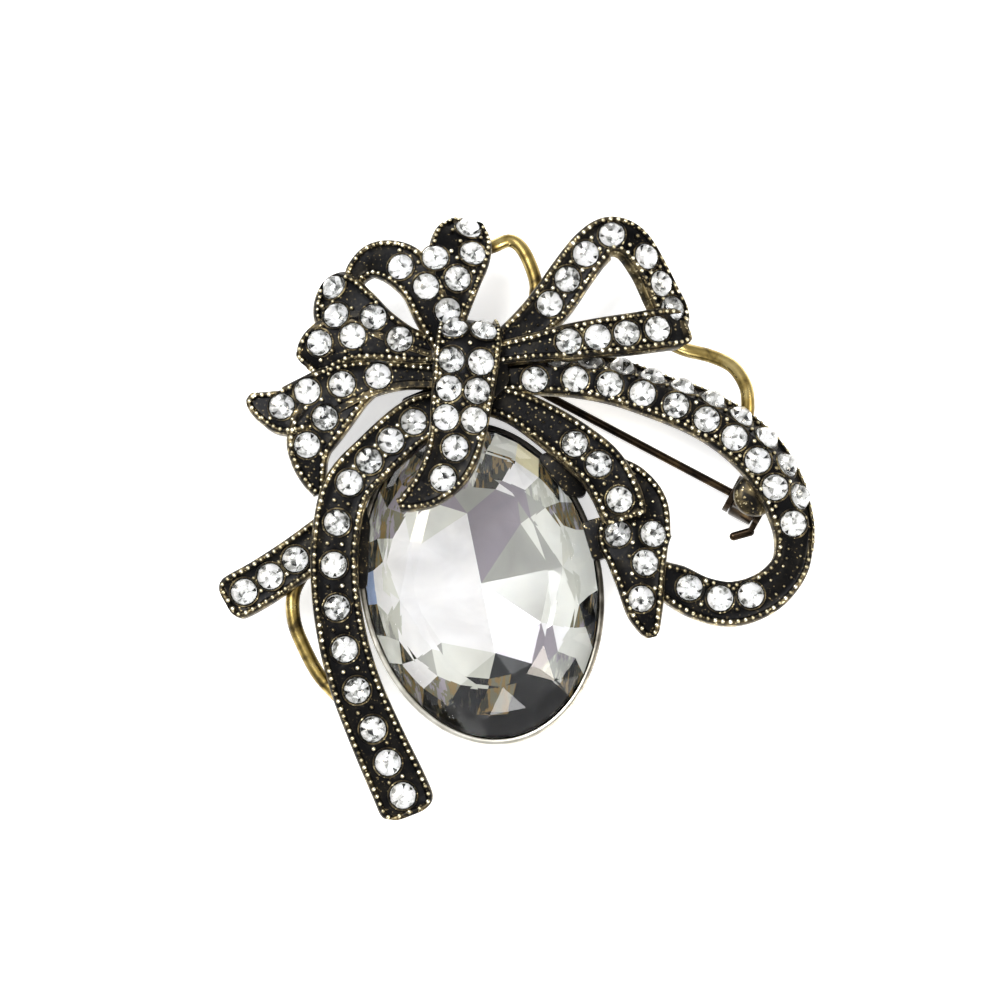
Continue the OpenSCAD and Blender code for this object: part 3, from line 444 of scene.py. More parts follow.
RIGHT_TAIL_FOLD = [
    [0.165, 0.088, 0.06, 0.50, 0, 0, 0], [0.190, 0.060, 0.08, 0.85, 0, 0, 0],
    [0.205, 0.022, 0.12, 1.20, 0, 5, 5], [0.196, -0.022, 0.18, 1.60, 0, 12, 12],
    [0.200, -0.062, 0.20, 1.28, 0, 10, 10], [0.206, -0.104, 0.18, 0.98, 0, 5, 5],
    [0.212, -0.146, 0.12, 0.72, 0, 0, 0], [0.220, -0.176, 0.06, 0.40, 0, 0, 0],
    [0.223, -0.188, 0.04, 0.20, 0, 0, 0]]
UPPER_LOOP_BACK = [
    [-0.020, 0.292, 0.30, 0.60, 0, 0, 0], [0.022, 0.322, 0.30, 0.80, 0, 0, 0],
    [0.060, 0.362, 0.30, 0.88, 0, 0, 0], [0.094, 0.410, 0.36, 0.88, 0, 0, 0],
    [0.125, 0.448, 0.42, 0.86, 0, 0, 0], [0.156, 0.466, 0.50, 0.84, -5, 0, 0],
    [0.187, 0.454, 0.50, 0.82, -20, 0, 0], [0.212, 0.418, 0.38, 0.82, -30, 0, 0],
    [0.234, 0.378, 0.18, 0.84, -30, 0, 0], [0.254, 0.342, 0.04, 0.82, -20, 0, 0],
    [0.258, 0.316, 0.02, 0.68, 0, 0, 0]]
UPPER_LOOP_FRONT = [
    [-0.040, 0.270, 0.45, 0.46, 0, 0, 0], [0.020, 0.279, 0.56, 0.54, 0, 0, 0],
    [0.080, 0.288, 0.60, 0.72, 0, 0, 0], [0.140, 0.297, 0.60, 0.80, 0, 0, 0],
    [0.195, 0.304, 0.58, 0.84, 0, 0, 0], [0.238, 0.312, 0.46, 0.86, 0, 0, 0],
    [0.260, 0.316, 0.28, 0.80, 0, 0, 0], [0.268, 0.318, 0.16, 0.50, 0, 0, 0]]
BIG_LOOP = [
    [-0.040, 0.246, 0.30, 0.90, 0, 40, 0], [0.030, 0.250, 0.34, 1.08, 0, 42, 0],
    [0.100, 0.248, 0.36, 1.16, 0, 46, 0], [0.170, 0.238, 0.36, 1.24, 0, 52, 0],
    [0.240, 0.218, 0.36, 1.32, 0, 60, 0], [0.310, 0.192, 0.34, 1.38, 0, 58, 0],
    [0.368, 0.158, 0.32, 1.40, 0, 55, 0], [0.416, 0.114, 0.30, 1.38, 0, 52, 0],
    [0.447, 0.064, 0.28, 1.28, 0, 50, 0], [0.461, 0.012, 0.26, 1.04, 0, 40, 0],
    [0.463, -0.036, 0.24, 0.82, 0, 20, 0], [0.452, -0.080, 0.20, 0.78, 0, 10, 5],
    [0.414, -0.118, 0.14, 0.86, 0, 5, 5], [0.360, -0.136, 0.08, 0.92, 0, 5, 5],
    [0.308, -0.127, 0.04, 0.90, 0, 5, 5], [0.264, -0.104, 0.00, 0.82, 0, 0, 0],
    [0.236, -0.088, 0.00, 0.60, 0, 0, 0]]

# Stones in rows: first and last place as shares of the length, pitch in stone widths, place across
ROWS = {
    "long_tail": [[0.075, 0.262, 1.13, 0], [0.352, 0.712, 1.56, 0], [0.80, 0.955, 1.45, 0]],
    "short_tail": [[0.36, 0.83, 1.17, 0]],
    "right_tail": [[0.535, 0.545, 1.27, 0], [0.70, 0.91, 1.9, 0]],
    "upper_loop_back": [[0.223, 0.573, 1.22, 0], [0.700, 0.916, 1.12, -0.1]],
    "upper_loop_front": [[0.40, 0.848, 1.14, 0]],
    "loop_outer": [[0.115, 0.612, 1.18, -0.50], [0.822, 0.94, 1.13, 0.2]],
    "loop_inner": [[0.074, 0.074, 1, 0.50], [0.147, 0.585, 1.25, 0.42], [0.658, 0.658, 1, 0.1]]}
# Single stones: distance from the ribbon's start in pitches, place across
SPOTS = {
    "knot": [[0.76, 0.46], [0.76, -0.46], [1.69, 0.46], [1.67, -0.46], [2.66, 0.46], [2.64, -0.46],
             [3.63, 0.47], [3.61, -0.51], [4.62, -0.05], [5.72, -0.2]],
    "top_fan_right": [[1.25, -0.1], [2.25, 0.10], [1.90, -1.16], [3.13, 0.42], [2.74, -0.80], [4.08, 0.1]],
    "top_fan_left": [[3.08, -0.12]],
    "left_fan_upper": [[2.50, 0.04], [4.16, 0.24], [3.50, -0.9]],
    "left_fan_lower": [[1.45, 0.2], [2.96, 0], [4.03, 0.25]],
    "left_tail_upper": [[2.1, 0], [3.36, 0.05], [4.5, 0.4], [5.6, 0.2]],
    "left_tail_lower": [[1.95, -0.08], [3.02, 0.1]],
    "right_tail_fold": [[2.65, 0.45], [2.6, -0.5], [3.65, -0.25], [4.8, 0.1]]}

# %% [markdown]
# ## Following a ribbon
# To lay metal, stones and beads on a ribbon, a step must know where its back is, which way it runs
# and which way its face looks. A curve object could tell that of a plain band. This one also rolls
# and bends, so a smooth line is led through the rows of its table instead.

# %% Following a ribbon
def rise(share):
    return STAND_H + share * RELIEF_H


def spot_at(p):
    return np.array([(p[0] - MIDDLE[0]) * BOW_W, (p[1] - MIDDLE[1]) * BOW_L])


def unit(v):
    return v / np.linalg.norm(v)


def turned(first, second, angle):
    """Two directions at right angles, turned in their own plane."""
    c, s = math.cos(angle), math.sin(angle)
    return first * c - second * s, second * c + first * s


def between(a, b, c, d, f):
    """A smooth line: a share f of the way from b to c, led by their neighbours a and d."""
    return (2 * b + (c - a) * f + (2 * a - 5 * b + 4 * c - d) * f ** 2 + (3 * b - a - 3 * c + d) * f ** 3) / 2


def row_at(rows, u):
    """The row of a ribbon's table at u, which need not be whole."""
    rows = np.array(rows, float)
    i = min(int(u), len(rows) - 2)
    b, c = rows[i], rows[i + 1]
    a = rows[i - 1] if i > 0 else 2 * b - c
    d = rows[i + 2] if i + 2 < len(rows) else 2 * c - b
    return between(a, b, c, d, u - i)


def back_at(rows, u):
    """The middle of the ribbon's back."""
    r = row_at(rows, u)
    return np.array([*spot_at(r), rise(r[2])])


def frame_at(rows, u):
    """Point on the back, and the directions to the right, along and out of the face."""
    step, last = 0.02, len(rows) - 1
    along = unit(back_at(rows, min(u + step, last)) - back_at(rows, max(u - step, 0)))
    side = unit(np.array([along[1], -along[0], 0]))
    side, out = turned(side, np.cross(side, along), math.radians(row_at(rows, u)[4]))
    return back_at(rows, u), side, along, out


# %% [markdown]
# ## Measuring along a line
# Stones and beads are spaced in millimetres, but a table counts rows. These helpers turn one into
# the other by adding up short steps, as a thread laid along the ribbon would.

# %% Measuring along a line
def run_of(points):
    """Distance along a line of points, at each of them."""
    return np.concatenate([[0], np.cumsum(np.linalg.norm(np.diff(points, axis=0), axis=1))])


def lengths(rows):
    """Distance along the ribbon for a run of its row numbers."""
    u = np.linspace(0, len(rows) - 1, (len(rows) - 1) * 8 + 1)
    return run_of([back_at(rows, v) for v in u]), u


def length_of(rows):
    return lengths(rows)[0][-1]


def row_number(rows, distance):
    return float(np.interp(distance, *lengths(rows)))


def half_of(rows, u):
    """Half the width that the table gives."""
    return row_at(rows, u)[3] * BAND_W / 2


print("the long tail is", round(length_of(LONG_TAIL), 1), "mm long")

# %% [markdown]
# ## The section of a ribbon
# The section has a narrow back, a flank that flares where wear has rounded it, a raised edge on
# both sides for the beads, and a flat floor for the stones. Its halves bend down about the middle
# of the floor. Each point also keeps how far it is rubbed: the flank much, the floor hardly.

# %% Section of a ribbon
BACK_SHARE, BELLY_SHARE = 0.82, 0.35
FLANK = 0.17
RIM_START = 0.03
END_REACH = [0, 0.1, 0.27, 0.45, RIM_W, RIM_W + 0.05]
END_EDGE = [0.5, 0.88, 1, 0.88, 0.5, 0]


def bent(row, place, x, y):
    """A point of the section, x across and y up, with its half of the ribbon bent down."""
    point, side, _, out = place
    a = math.radians(row[6] if x > 0 else -row[5])
    h = y - RIBBON_T
    return (point + side * (x * math.cos(a) + h * math.sin(a))
            + out * (RIBBON_T - x * math.sin(a) + h * math.cos(a)))


def place_on(rows, u, x, y):
    """A point of the ribbon: x across from its middle and y up from its back."""
    return bent(row_at(rows, u), frame_at(rows, u), x, y)


def half_at(rows, u, rounding=0.0, left=9.0):
    """Half the width. Near a round end, left mm away, the corners are drawn in."""
    half = max(half_of(rows, u), 1.05 * RIM_W)
    if left < rounding:
        half = max(half - rounding + math.sqrt(rounding ** 2 - (rounding - left) ** 2), 0.7 * RIM_W)
    return half


def half_section(half, rim):
    """Points and their wear from the middle of the back round one side to the middle of the floor."""
    back = BACK_SHARE * half
    belly = BELLY_SHARE * RIBBON_T
    crest = min(RIM_W / 2, rim)
    shoulder = RIBBON_T + rim - crest
    points = [
        (0, 0, 0.35), (0.5 * back, 0, 0.35), (back - 0.1, 0, 0.35), (back, 0.04, 0.4),
        (half + FLANK - 0.04, belly - 0.1, 0.58), (half + FLANK, belly, 0.62),
        (half + 0.8 * FLANK, RIBBON_T * 0.8, 0.62),
        (half + 0.3 * FLANK, RIBBON_T + 0.3 * (rim - crest), 0.6), (half, shoulder, 0.5)]
    for degrees, wear in ((30, 0.38), (60, 0.42), (90, 0.42), (120, 0.42), (150, 0.38)):
        a = math.radians(degrees)
        points.append((half - RIM_W / 2 * (1 - math.cos(a)), RIBBON_T + rim - crest * (1 - math.sin(a)), wear))
    inner = half - RIM_W
    return points + [
        (inner, shoulder, 0.3), (inner - 0.02, RIBBON_T + 0.06, 0.12),
        (inner - 0.1 * min(1, half), RIBBON_T, 0.06), (0.5 * inner, RIBBON_T, 0.04), (0, RIBBON_T, 0.04)]


def ring_at(rows, u, rims, rounding, left):
    """The section at one station, with its wear. Close to a round end the floor rises to an edge."""
    row, place = row_at(rows, u), frame_at(rows, u)
    share = u / (len(rows) - 1)
    half = half_at(rows, u, rounding, left)
    left_rim, right_rim = (RIM_H * min(1, max(0, (share - start) / RIM_START)) if start > 0 else RIM_H
                           for start in rims)
    mirrored = [(-x, y, w) for x, y, w in half_section(half, left_rim)[-2:0:-1]]
    edge = RIBBON_T + RIM_H * float(np.interp(left, END_REACH, END_EDGE))
    ring, wear = [], []
    for x, y, w in half_section(half, right_rim) + mirrored:
        if rounding and RIBBON_T <= y < edge:
            y, w = edge, max(w, 0.44)
        ring.append(bent(row, place, x, y))
        wear.append(w)
    return ring, wear


# %% [markdown]
# ## Places of the stones
# A setter spaces the stones by eye until they fill the ribbon. Here a run of stones is spread
# evenly between its ends, as its pitch allows, and single stones keep places of their own. The
# fields are those of the construction, and every stone sits within 0.4 mm of its solid.

# %% Places of the stones
# A start that lies past the end, so that the edge never rises
NEVER = 9
# For each ribbon: its rows, where its left and right edges start to rise, and how round its end is
RIBBONS = {
    "knot": (KNOT, (0, 0), 0), "top_fan_right": (TOP_FAN_RIGHT, (0.52, 0), 0.3),
    "top_fan_left": (TOP_FAN_LEFT, (0, 0.38), 0), "left_fan_upper": (LEFT_FAN_UPPER, (0.66, 0), 0.3),
    "left_fan_lower": (LEFT_FAN_LOWER, (0, 0.70), 0.3), "left_fan_border": (LEFT_FAN_BORDER, (NEVER, 0), 0),
    "left_tail_upper": (LEFT_TAIL_UPPER, (0.52, 0), 0.3),
    "left_tail_lower": (LEFT_TAIL_LOWER, (0, 0.4), 0), "long_tail": (LONG_TAIL, (0, 0), 1.2),
    "short_tail": (SHORT_TAIL, (0, 0), 1.0), "right_tail": (RIGHT_TAIL, (0, 0), 0.5),
    "right_tail_fold": (RIGHT_TAIL_FOLD, (0, 0), 0.4), "upper_loop_back": (UPPER_LOOP_BACK, (0, 0), 0),
    "upper_loop_front": (UPPER_LOOP_FRONT, (0, 0), 0.6), "big_loop": (BIG_LOOP, (0.62, 0), 0)}
# For each field of the construction: the keys of its stones
FIELDS = {
    "knot_stones": ["knot"], "top_fan_stones": ["top_fan_right", "top_fan_left"],
    "left_fan_stones": ["left_fan_upper", "left_fan_lower"],
    "left_tail_stones": ["left_tail_upper", "left_tail_lower"], "long_tail_stones": ["long_tail"],
    "short_tail_stones": ["short_tail"], "right_tail_stones": ["right_tail", "right_tail_fold"],
    "upper_loop_stones": ["upper_loop_back", "upper_loop_front"],
    "loop_outer_stones": ["loop_outer"], "loop_inner_stones": ["loop_inner"]}


def rows_of(key):
    """The table that some stones follow. Both runs of the big loop lie on one ribbon."""
    return RIBBONS["big_loop" if key.startswith("loop_") else key][0]


def stones_in(key):
    """Distance from the ribbon's start and place across, for each stone of a key."""
    total = length_of(rows_of(key))
    if key in SPOTS:
        return [[s[0] * GEM_PITCH, s[1]] for s in SPOTS[key] if s[0] * GEM_PITCH < total - GEM_D / 4]
    spots = []
    for first, last, pitch, across in ROWS[key]:
        span = (last - first) * total
        gaps = math.floor(span / (pitch * GEM_D) + 0.5)
        spots += [[first * total + (span * i / gaps if gaps else 0), across] for i in range(gaps + 1)]
    return spots


def floor_frame(rows, distance, across, lift=0.0):
    """Place and directions on the ribbon's floor. across is a share of the half width."""
    u = row_number(rows, distance)
    row = row_at(rows, u)
    point, side, along, out = frame_at(rows, u)
    x = across * row[3] * BAND_W / 2
    right, up = turned(side, out, math.radians(row[6] if x > 0 else -row[5] if x < 0 else 0))
    return point + out * RIBBON_T + right * x + up * lift, right, along, up


seats = [floor_frame(rows_of(key), *s, SEAT_GAP)
         for keys in FIELDS.values() for key in keys for s in stones_in(key)]
stones_at = np.array([s[0] for s in seats])
print("seats for", len(seats), "small stones")

# %% [markdown]
# ## A grid wrapped round rings
# A ribbon, the cup and the catch's pad are all rings of points, one after the other. Bridging the
# rings one by one would take many steps. A grid added once, with its rows laid on the rings, gives
# the same even mesh, and its ends are filled and its doubles merged as by hand.

# %% Grid round rings
MERGE = 1e-7


def smooth(obj, angle):
    activate(obj)
    bpy.ops.object.shade_smooth_by_angle(angle=math.radians(angle))


def keep_wear(obj, wear):
    """Keeps how far the metal is rubbed: one value for the piece, or one for each point."""
    values = np.full(len(obj.data.vertices), wear)
    obj.data.attributes.new("wear", "FLOAT", "POINT").data.foreach_set("value", values)


def loft(name, rings, wear):
    """A grid wrapped round a row of rings, with its ends closed. Points are in millimetres."""
    rings = np.array(rings, float)
    count, around = rings.shape[:2]
    clear_selection()
    bpy.ops.mesh.primitive_grid_add(x_subdivisions=around, y_subdivisions=count - 1, size=2)
    obj = bpy.context.object
    obj.name = obj.data.name = name
    co = np.zeros(len(obj.data.vertices) * 3)
    obj.data.vertices.foreach_get("co", co)
    co = co.reshape(-1, 3)
    column = np.rint((co[:, 0] + 1) / 2 * around).astype(int) % around
    row = np.rint((co[:, 1] + 1) / 2 * (count - 1)).astype(int)
    obj.data.vertices.foreach_set("co", (rings[row, column] * MM).ravel())
    keep_wear(obj, np.array(wear, float)[row, column])
    edit(obj)
    bpy.ops.mesh.remove_doubles(threshold=MERGE)
    bpy.ops.mesh.select_all(action="DESELECT")
    bpy.ops.mesh.select_mode(type="EDGE")
    bpy.ops.mesh.select_non_manifold()
    bpy.ops.mesh.fill_holes(sides=0)
    bpy.ops.mesh.select_mode(type="VERT")
    bpy.ops.mesh.select_all(action="SELECT")
    bpy.ops.mesh.normals_make_consistent(inside=False)
    leave_edit()
    return obj


# %% [markdown]
# ## Stretched solids and many copies
# A cut stone has flat faces wherever a sheet stretched over its corners would lie, so its corners
# alone describe it, and a drill or a web is made in the same way. What repeats is made once and
# copied into one mesh. An array or instances would do that too, but a real mesh can be exported.

# %% Stretched solids and many copies
def circle(radius, height, count, turn=0.0):
    angles = [2 * math.pi * (i + turn) / count for i in range(count)]
    return [(radius * math.cos(a), radius * math.sin(a), height) for a in angles]


def hull(name, points):
    """The closed solid that a sheet stretched over the points would make. Points are in mm."""
    mesh = bpy.data.meshes.new(name)
    mesh.from_pydata([tuple(np.array(p) * MM) for p in points], [], [])
    obj = bpy.data.objects.new(name, mesh)
    bpy.context.scene.collection.objects.link(obj)
    edit(obj)
    bpy.ops.mesh.convex_hull()
    bpy.ops.mesh.select_all(action="SELECT")
    bpy.ops.mesh.dissolve_limited(angle_limit=math.radians(0.4))
    bpy.ops.mesh.select_all(action="SELECT")
    bpy.ops.mesh.normals_make_consistent(inside=False)
    leave_edit()
    return obj


def scatter(name, template, frames, shifts=None):
    """One mesh with a copy of the template at each frame: place and x, y and z directions, in mm.
    The shifts move the wear or the tone of each copy a little."""
    mesh = template.data
    base = np.zeros(len(mesh.vertices) * 3)
    mesh.vertices.foreach_get("co", base)
    base = base.reshape(-1, 3) / MM
    corners = np.zeros(len(mesh.loops), int)
    mesh.loops.foreach_get("vertex_index", corners)
    count = len(frames)
    points = np.concatenate([f[0] + base @ np.array(f[1:4]) for f in frames]) * MM
    loops = (corners[None, :] + np.arange(count)[:, None] * len(base)).ravel()
    totals = np.tile([p.loop_total for p in mesh.polygons], count)
    out = bpy.data.meshes.new(name)
    out.vertices.add(len(points))
    out.vertices.foreach_set("co", points.ravel())
    out.loops.add(len(loops))
    out.loops.foreach_set("vertex_index", loops)
    out.polygons.add(len(totals))
    out.polygons.foreach_set("loop_start", np.concatenate([[0], np.cumsum(totals)[:-1]]))
    out.polygons.foreach_set("material_index", np.tile([p.material_index for p in mesh.polygons], count))
    out.update(calc_edges=True)
    for source in mesh.attributes:
        if source.name in ("wear", "tone", "fleck"):
            size = len(mesh.vertices) if source.domain == "POINT" else len(mesh.polygons)
            data = np.zeros(size)
            source.data.foreach_get("value", data)
            data = np.tile(data, count)
            if shifts is not None and source.name != "fleck":
                data = np.clip(data + np.repeat(shifts, size), 0, 1)
            out.attributes.new(source.name, "FLOAT", source.domain).data.foreach_set("value", data)
    obj = bpy.data.objects.new(name, out)
    bpy.context.scene.collection.objects.link(obj)
    return obj


# %% [markdown]
# ## The cast ribbons
# Each ribbon is lofted through its sections. A seat is then drilled under every stone, as a setter
# opens it, through every ribbon that the stone reaches, and its cone gives the foiled back room.
# The holes could be left out, since stones hide them, but their dark rims are seen from the side.

# %% Cast ribbons
RINGS_PER_ROW = 7
END_STEPS = (1.2, 0.9, 0.7, 0.6, 0.5, 0.38, 0.27, 0.17, 0.09, 0.03, 0.0)
SEAT_D = GEM_D + 0.16


def cut(obj, tool):
    """Takes the tool away from the piece, as a drill would."""
    activate(obj)
    change = obj.modifiers.new("cut", "BOOLEAN")
    change.operation = "DIFFERENCE"
    change.solver = "MANIFOLD"
    change.object = tool
    bpy.ops.object.modifier_apply(modifier=change.name)
    bpy.data.objects.remove(tool)


def finish_piece(obj, body, slot, *nodes):
    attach(obj, body)
    if nodes:
        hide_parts(*nodes)


def stations(rows, rounding):
    """Distances left to the ribbon's end, closer together where it is round."""
    runs, us = lengths(rows)
    even = np.linspace(0, len(rows) - 1, (len(rows) - 1) * RINGS_PER_ROW + 1)
    lefts = runs[-1] - np.interp(even, us, runs)
    if not rounding:
        return lefts
    return ([d for d in lefts if d > max(rounding, RIM_W) + 0.1]
            + [d for d in END_STEPS if d <= max(rounding, RIM_W + 0.05)])


drill = hull("seat_drill", circle(SEAT_D / 2, CROWN_H + 0.3, 24) + circle(SEAT_D / 2, -0.06, 24)
             + circle(0.36, -PAVILION_H - 0.12, 24))
for name, (rows, rims, rounding) in RIBBONS.items():
    runs, us = lengths(rows)
    made = [ring_at(rows, float(np.interp(runs[-1] - d, runs, us)), rims, rounding, d)
            for d in stations(rows, rounding)]
    ribbon = loft("cast_" + name, [m[0] for m in made], [m[1] for m in made])
    skin = np.concatenate([m[0] for m in made])
    reached = [s for s in seats if np.min(np.linalg.norm(skin - s[0], axis=1)) < SEAT_D]
    cut(ribbon, scatter("drills", drill, reached))
    smooth(ribbon, 38)
    dress(ribbon, cast_brass)
    finish_piece(ribbon, "bow", "antique_brass", "bow_frame")
    print(ribbon.name, "faces", len(ribbon.data.polygons))
bpy.data.objects.remove(drill)

# %% [markdown]
# ## One bead, many places
# Millegrain is a row of tiny beads that a wheel rolls along an edge. One bead is a small ball,
# rubbed bright at its tip and black at its root. Every bead, ball and dot of the brooch is a copy
# of it, each rubbed a little more or less than the next, so one mesh can hold a whole row.

# %% One bead, many places
BEAD_D = 0.46
BEAD_PITCH = 0.74
clear_selection()
bpy.ops.mesh.primitive_ico_sphere_add(subdivisions=2, radius=BEAD_D / 2 * MM)
bead = bpy.context.object
bead.name = "bead"
heights = np.array([v.co.z for v in bead.data.vertices]) / (BEAD_D / 2 * MM)
keep_wear(bead, np.clip(0.3 + 0.62 * heights, 0, 1))
bead.data.shade_smooth()
print("a bead has", len(bead.data.polygons), "faces")


def clear_of_stones(frames, gap):
    return [f for f in frames if np.min(np.linalg.norm(stones_at - f[0], axis=1)) > GEM_D / 2 + gap]


def sized(frames, scale, sink=0.0):
    """The frames made larger or smaller, and sunk into the metal by some mm."""
    return [(at - out * sink, right * scale, along * scale, out * scale) for at, right, along, out in frames]


def bead_field(name, frames, draw, low, high):
    """Beads at the frames. The draw from low to high shifts how far each is rubbed."""
    field = scatter(name, bead, frames, np.array([draw.uniform(low, high) for f in frames]))
    field.data.shade_smooth()
    dress(field, bead_brass)
    finish_piece(field, "bow", "antique_brass")
    print(name, "holds", len(frames))


# %% [markdown]
# ## Beaded edges
# The beads follow both raised edges of every ribbon and close its round end. They sit a little
# inside the edge, so that a line of worn metal shows outside them. Beads that would touch a stone
# are left out, as a setter's tool would flatten them.

# %% Beaded edges
BEAD_SIZES = {"knot": 0.8, "left_fan_border": 0.85}
INSET = 0.09
INSETS = {"knot": 0.02}
SINK = BEAD_ROOM = 0.06


def along_edge(rows, side, first, pitch, rounding, inset):
    """Frames at an even pitch along one raised edge of a ribbon, from its share first on."""
    runs, table = lengths(rows)
    us = np.linspace(first * (len(rows) - 1), len(rows) - 1, (len(rows) - 1) * 10 + 1)
    lefts = [d for d in runs[-1] - np.interp(us, table, runs) if d > rounding + 0.05]
    lefts += [rounding * share for share in (1, 0.8, 0.6, 0.45, 0.35) if rounding]
    us = [float(np.interp(runs[-1] - d, runs, table)) for d in lefts]
    places = [side * (half_at(rows, u, rounding, d) - RIM_W / 2 - inset) for u, d in zip(us, lefts)]
    line = np.array([place_on(rows, u, x, RIBBON_T + RIM_H) for u, x in zip(us, places)])
    run = run_of(line)
    count = max(1, round(run[-1] / pitch))
    frames = []
    for d in (np.arange(count) + 0.5) * run[-1] / count:
        u = float(np.interp(d, run, us))
        at = np.array([np.interp(d, run, line[:, k]) for k in range(3)])
        row = row_at(rows, u)
        _, right, along, out = frame_at(rows, u)
        right, out = turned(right, out, math.radians(row[6] if side > 0 else -row[5]))
        frames.append((at, right, along, out))
    return frames


def across_end(rows, rounding):
    """Frames in a row across the ribbon's round end."""
    half = half_of(rows, len(rows) - 1)
    reach = half - max(rounding, RIM_W)
    count = max(1, round(2 * reach / BEAD_PITCH) + 1)
    distance = length_of(rows) - RIM_W / 2 - INSET
    return [floor_frame(rows, distance, x / half, RIM_H + 0.04) for x in np.linspace(-reach, reach, count)]


draw = random.Random(7)
for name, (rows, rims, rounding) in RIBBONS.items():
    fine = BEAD_SIZES.get(name, 1)
    frames = []
    for side, start in zip((-1, 1), rims):
        if start < NEVER:
            first = start + RIM_START if start > 0 else 0
            frames += along_edge(rows, side, first, BEAD_PITCH * fine, rounding, INSETS.get(name, INSET))
    if rounding:
        frames += across_end(rows, rounding)
    frames = clear_of_stones(sized(frames, fine, SINK), BEAD_ROOM)
    bead_field("beads_" + name, frames, draw, -0.2, 0.12)

# %% [markdown]
# ## Outer edge of the big loop
# The loop's outer half is bent down steeply and its stones fill it. Only a thin edge, like a wire,
# runs past them, with finer beads. A curve with a round bevel gives that wire in one step, and the
# same routine draws the braces later.

# %% Outer edge of the big loop
EDGE_D = 0.34
EDGE_IN = 0.1


def faces_out(obj, merge=MERGE):
    edit(obj)
    bpy.ops.mesh.remove_doubles(threshold=merge)
    bpy.ops.mesh.normals_make_consistent(inside=False)
    leave_edit()


def wire(name, points, diameter, round_steps=4):
    """A round wire through points in mm, drawn as a curve and turned into a mesh."""
    data = bpy.data.curves.new(name, "CURVE")
    data.dimensions = "3D"
    data.bevel_depth = diameter / 2 * MM
    data.bevel_resolution = round_steps
    data.use_fill_caps = True
    spline = data.splines.new("POLY")
    spline.points.add(len(points) - 1)
    for point, place in zip(spline.points, points):
        point.co = [*(np.array(place) * MM), 1]
    obj = bpy.data.objects.new(name, data)
    bpy.context.scene.collection.objects.link(obj)
    activate(obj)
    bpy.ops.object.convert(target="MESH")
    obj = bpy.context.object
    obj.name = obj.data.name = name
    faces_out(obj)
    smooth(obj, 50)
    return obj


def on_edge(u, height):
    """A point over the outer corner of the big loop."""
    return place_on(BIG_LOOP, u, EDGE_IN - half_at(BIG_LOOP, u), RIBBON_T + height)


us = np.linspace(0.5, 0.64 * (len(BIG_LOOP) - 1), 90)
corner = [on_edge(u, 0.1) for u in us]
edge = wire("edge_big_loop", corner, EDGE_D, 2)
keep_wear(edge, 0.5)
dress(edge, cast_brass)
finish_piece(edge, "bow", "antique_brass")
run = run_of(corner)
frames = []
for d in np.arange(0.4, run[-1], BEAD_PITCH):
    u = float(np.interp(d, run, us))
    _, right, along, out = frame_at(BIG_LOOP, u)
    up = turned(out, right, math.radians(row_at(BIG_LOOP, u)[5]) * 0.6)[0]
    frames.append((on_edge(u, 0.22), np.cross(along, up), along, up))
bead_field("beads_edge_big_loop", sized(frames, 0.75), random.Random(13), -0.2, 0.1)

# %% [markdown]
# ## Cutting a chaton
# A chaton is a round glass stone with a table, stars, kites and small facets above the girdle, and
# a pointed, foiled back. Facets could be sliced off a cylinder one by one, as a cutter does. It is
# quicker to name the rings of its corners, from the table down, and stretch a sheet over them.

# %% Cutting a chaton
TABLE_D = 1.45
# Radius, height, number of corners and turn of each ring
CHATON_RINGS = [
    (TABLE_D / 2, CROWN_H, 8, 0), (1.04, 0.43, 8, 0.5), (GEM_D / 2, 0.03, 16, 0), (GEM_D / 2, -0.03, 16, 0),
    (0.86, -0.42, 16, 0.5), (0.42, -0.62, 8, 0), (0, -PAVILION_H, 1, 0)]
# Tones of the back facets of a chaton, painted reflections: at the girdle, half-way in, and round
# the point
RIM_SPOKES = [0.9, 0.5, 0.7, 0.3, 0.9, 0.7, 0.5, 0.9, 0.1, 0.9, 0.5, 0.7, 0.9, 0.5, 0.7, 0.3]
HALF_SPOKES = [0.9, 0.5, 0.7, 0.9, 0.5, 0.9, 0.1, 0.9, 0.7, 0.5, 0.9, 0.3]
POINT_SPOKES = [0.5, 0.9, 0.7, 0.9, 0.3, 0.9, 0.9, 0.7]


def spoke(tones, x, y):
    """The tone in a direction, when the tones stand round a circle."""
    return tones[int(math.atan2(y, x) / (2 * math.pi) * len(tones)) % len(tones)]


def chaton_tone(face):
    reach = math.hypot(face.center.x, face.center.y) / MM
    tones = POINT_SPOKES if reach < 0.35 else HALF_SPOKES if reach < 0.85 else RIM_SPOKES
    return spoke(tones, face.center.x, face.center.y), 1.0


def foil_back(obj, chooser):
    """Gives each face behind the girdle the foil, and keeps its tone, a painted reflection, and its
    share of flecks.
    """
    values, flecks = [], []
    for face in obj.data.polygons:
        behind = face.normal.z < -0.05
        face.material_index = 1 if behind else 0
        tone, fleck = chooser(face) if behind else (1.0, 0.0)
        values.append(tone)
        flecks.append(fleck)
    obj.data.attributes.new("tone", "FLOAT", "FACE").data.foreach_set("value", values)
    obj.data.attributes.new("fleck", "FLOAT", "FACE").data.foreach_set("value", flecks)


chaton = hull("chaton", [corner for ring in CHATON_RINGS for corner in circle(*ring)])
foil_back(chaton, chaton_tone)
print("a chaton has", len(chaton.data.polygons), "facets")

# %% [markdown]
# ## Setting the small stones
# The one chaton is set into every seat. Each stone is turned its own way and its tones are shifted
# a little, because in a setter's hand no two stones catch the light alike. They are a touch
# smaller than the solids, which leaves a dark line between stone and seat.

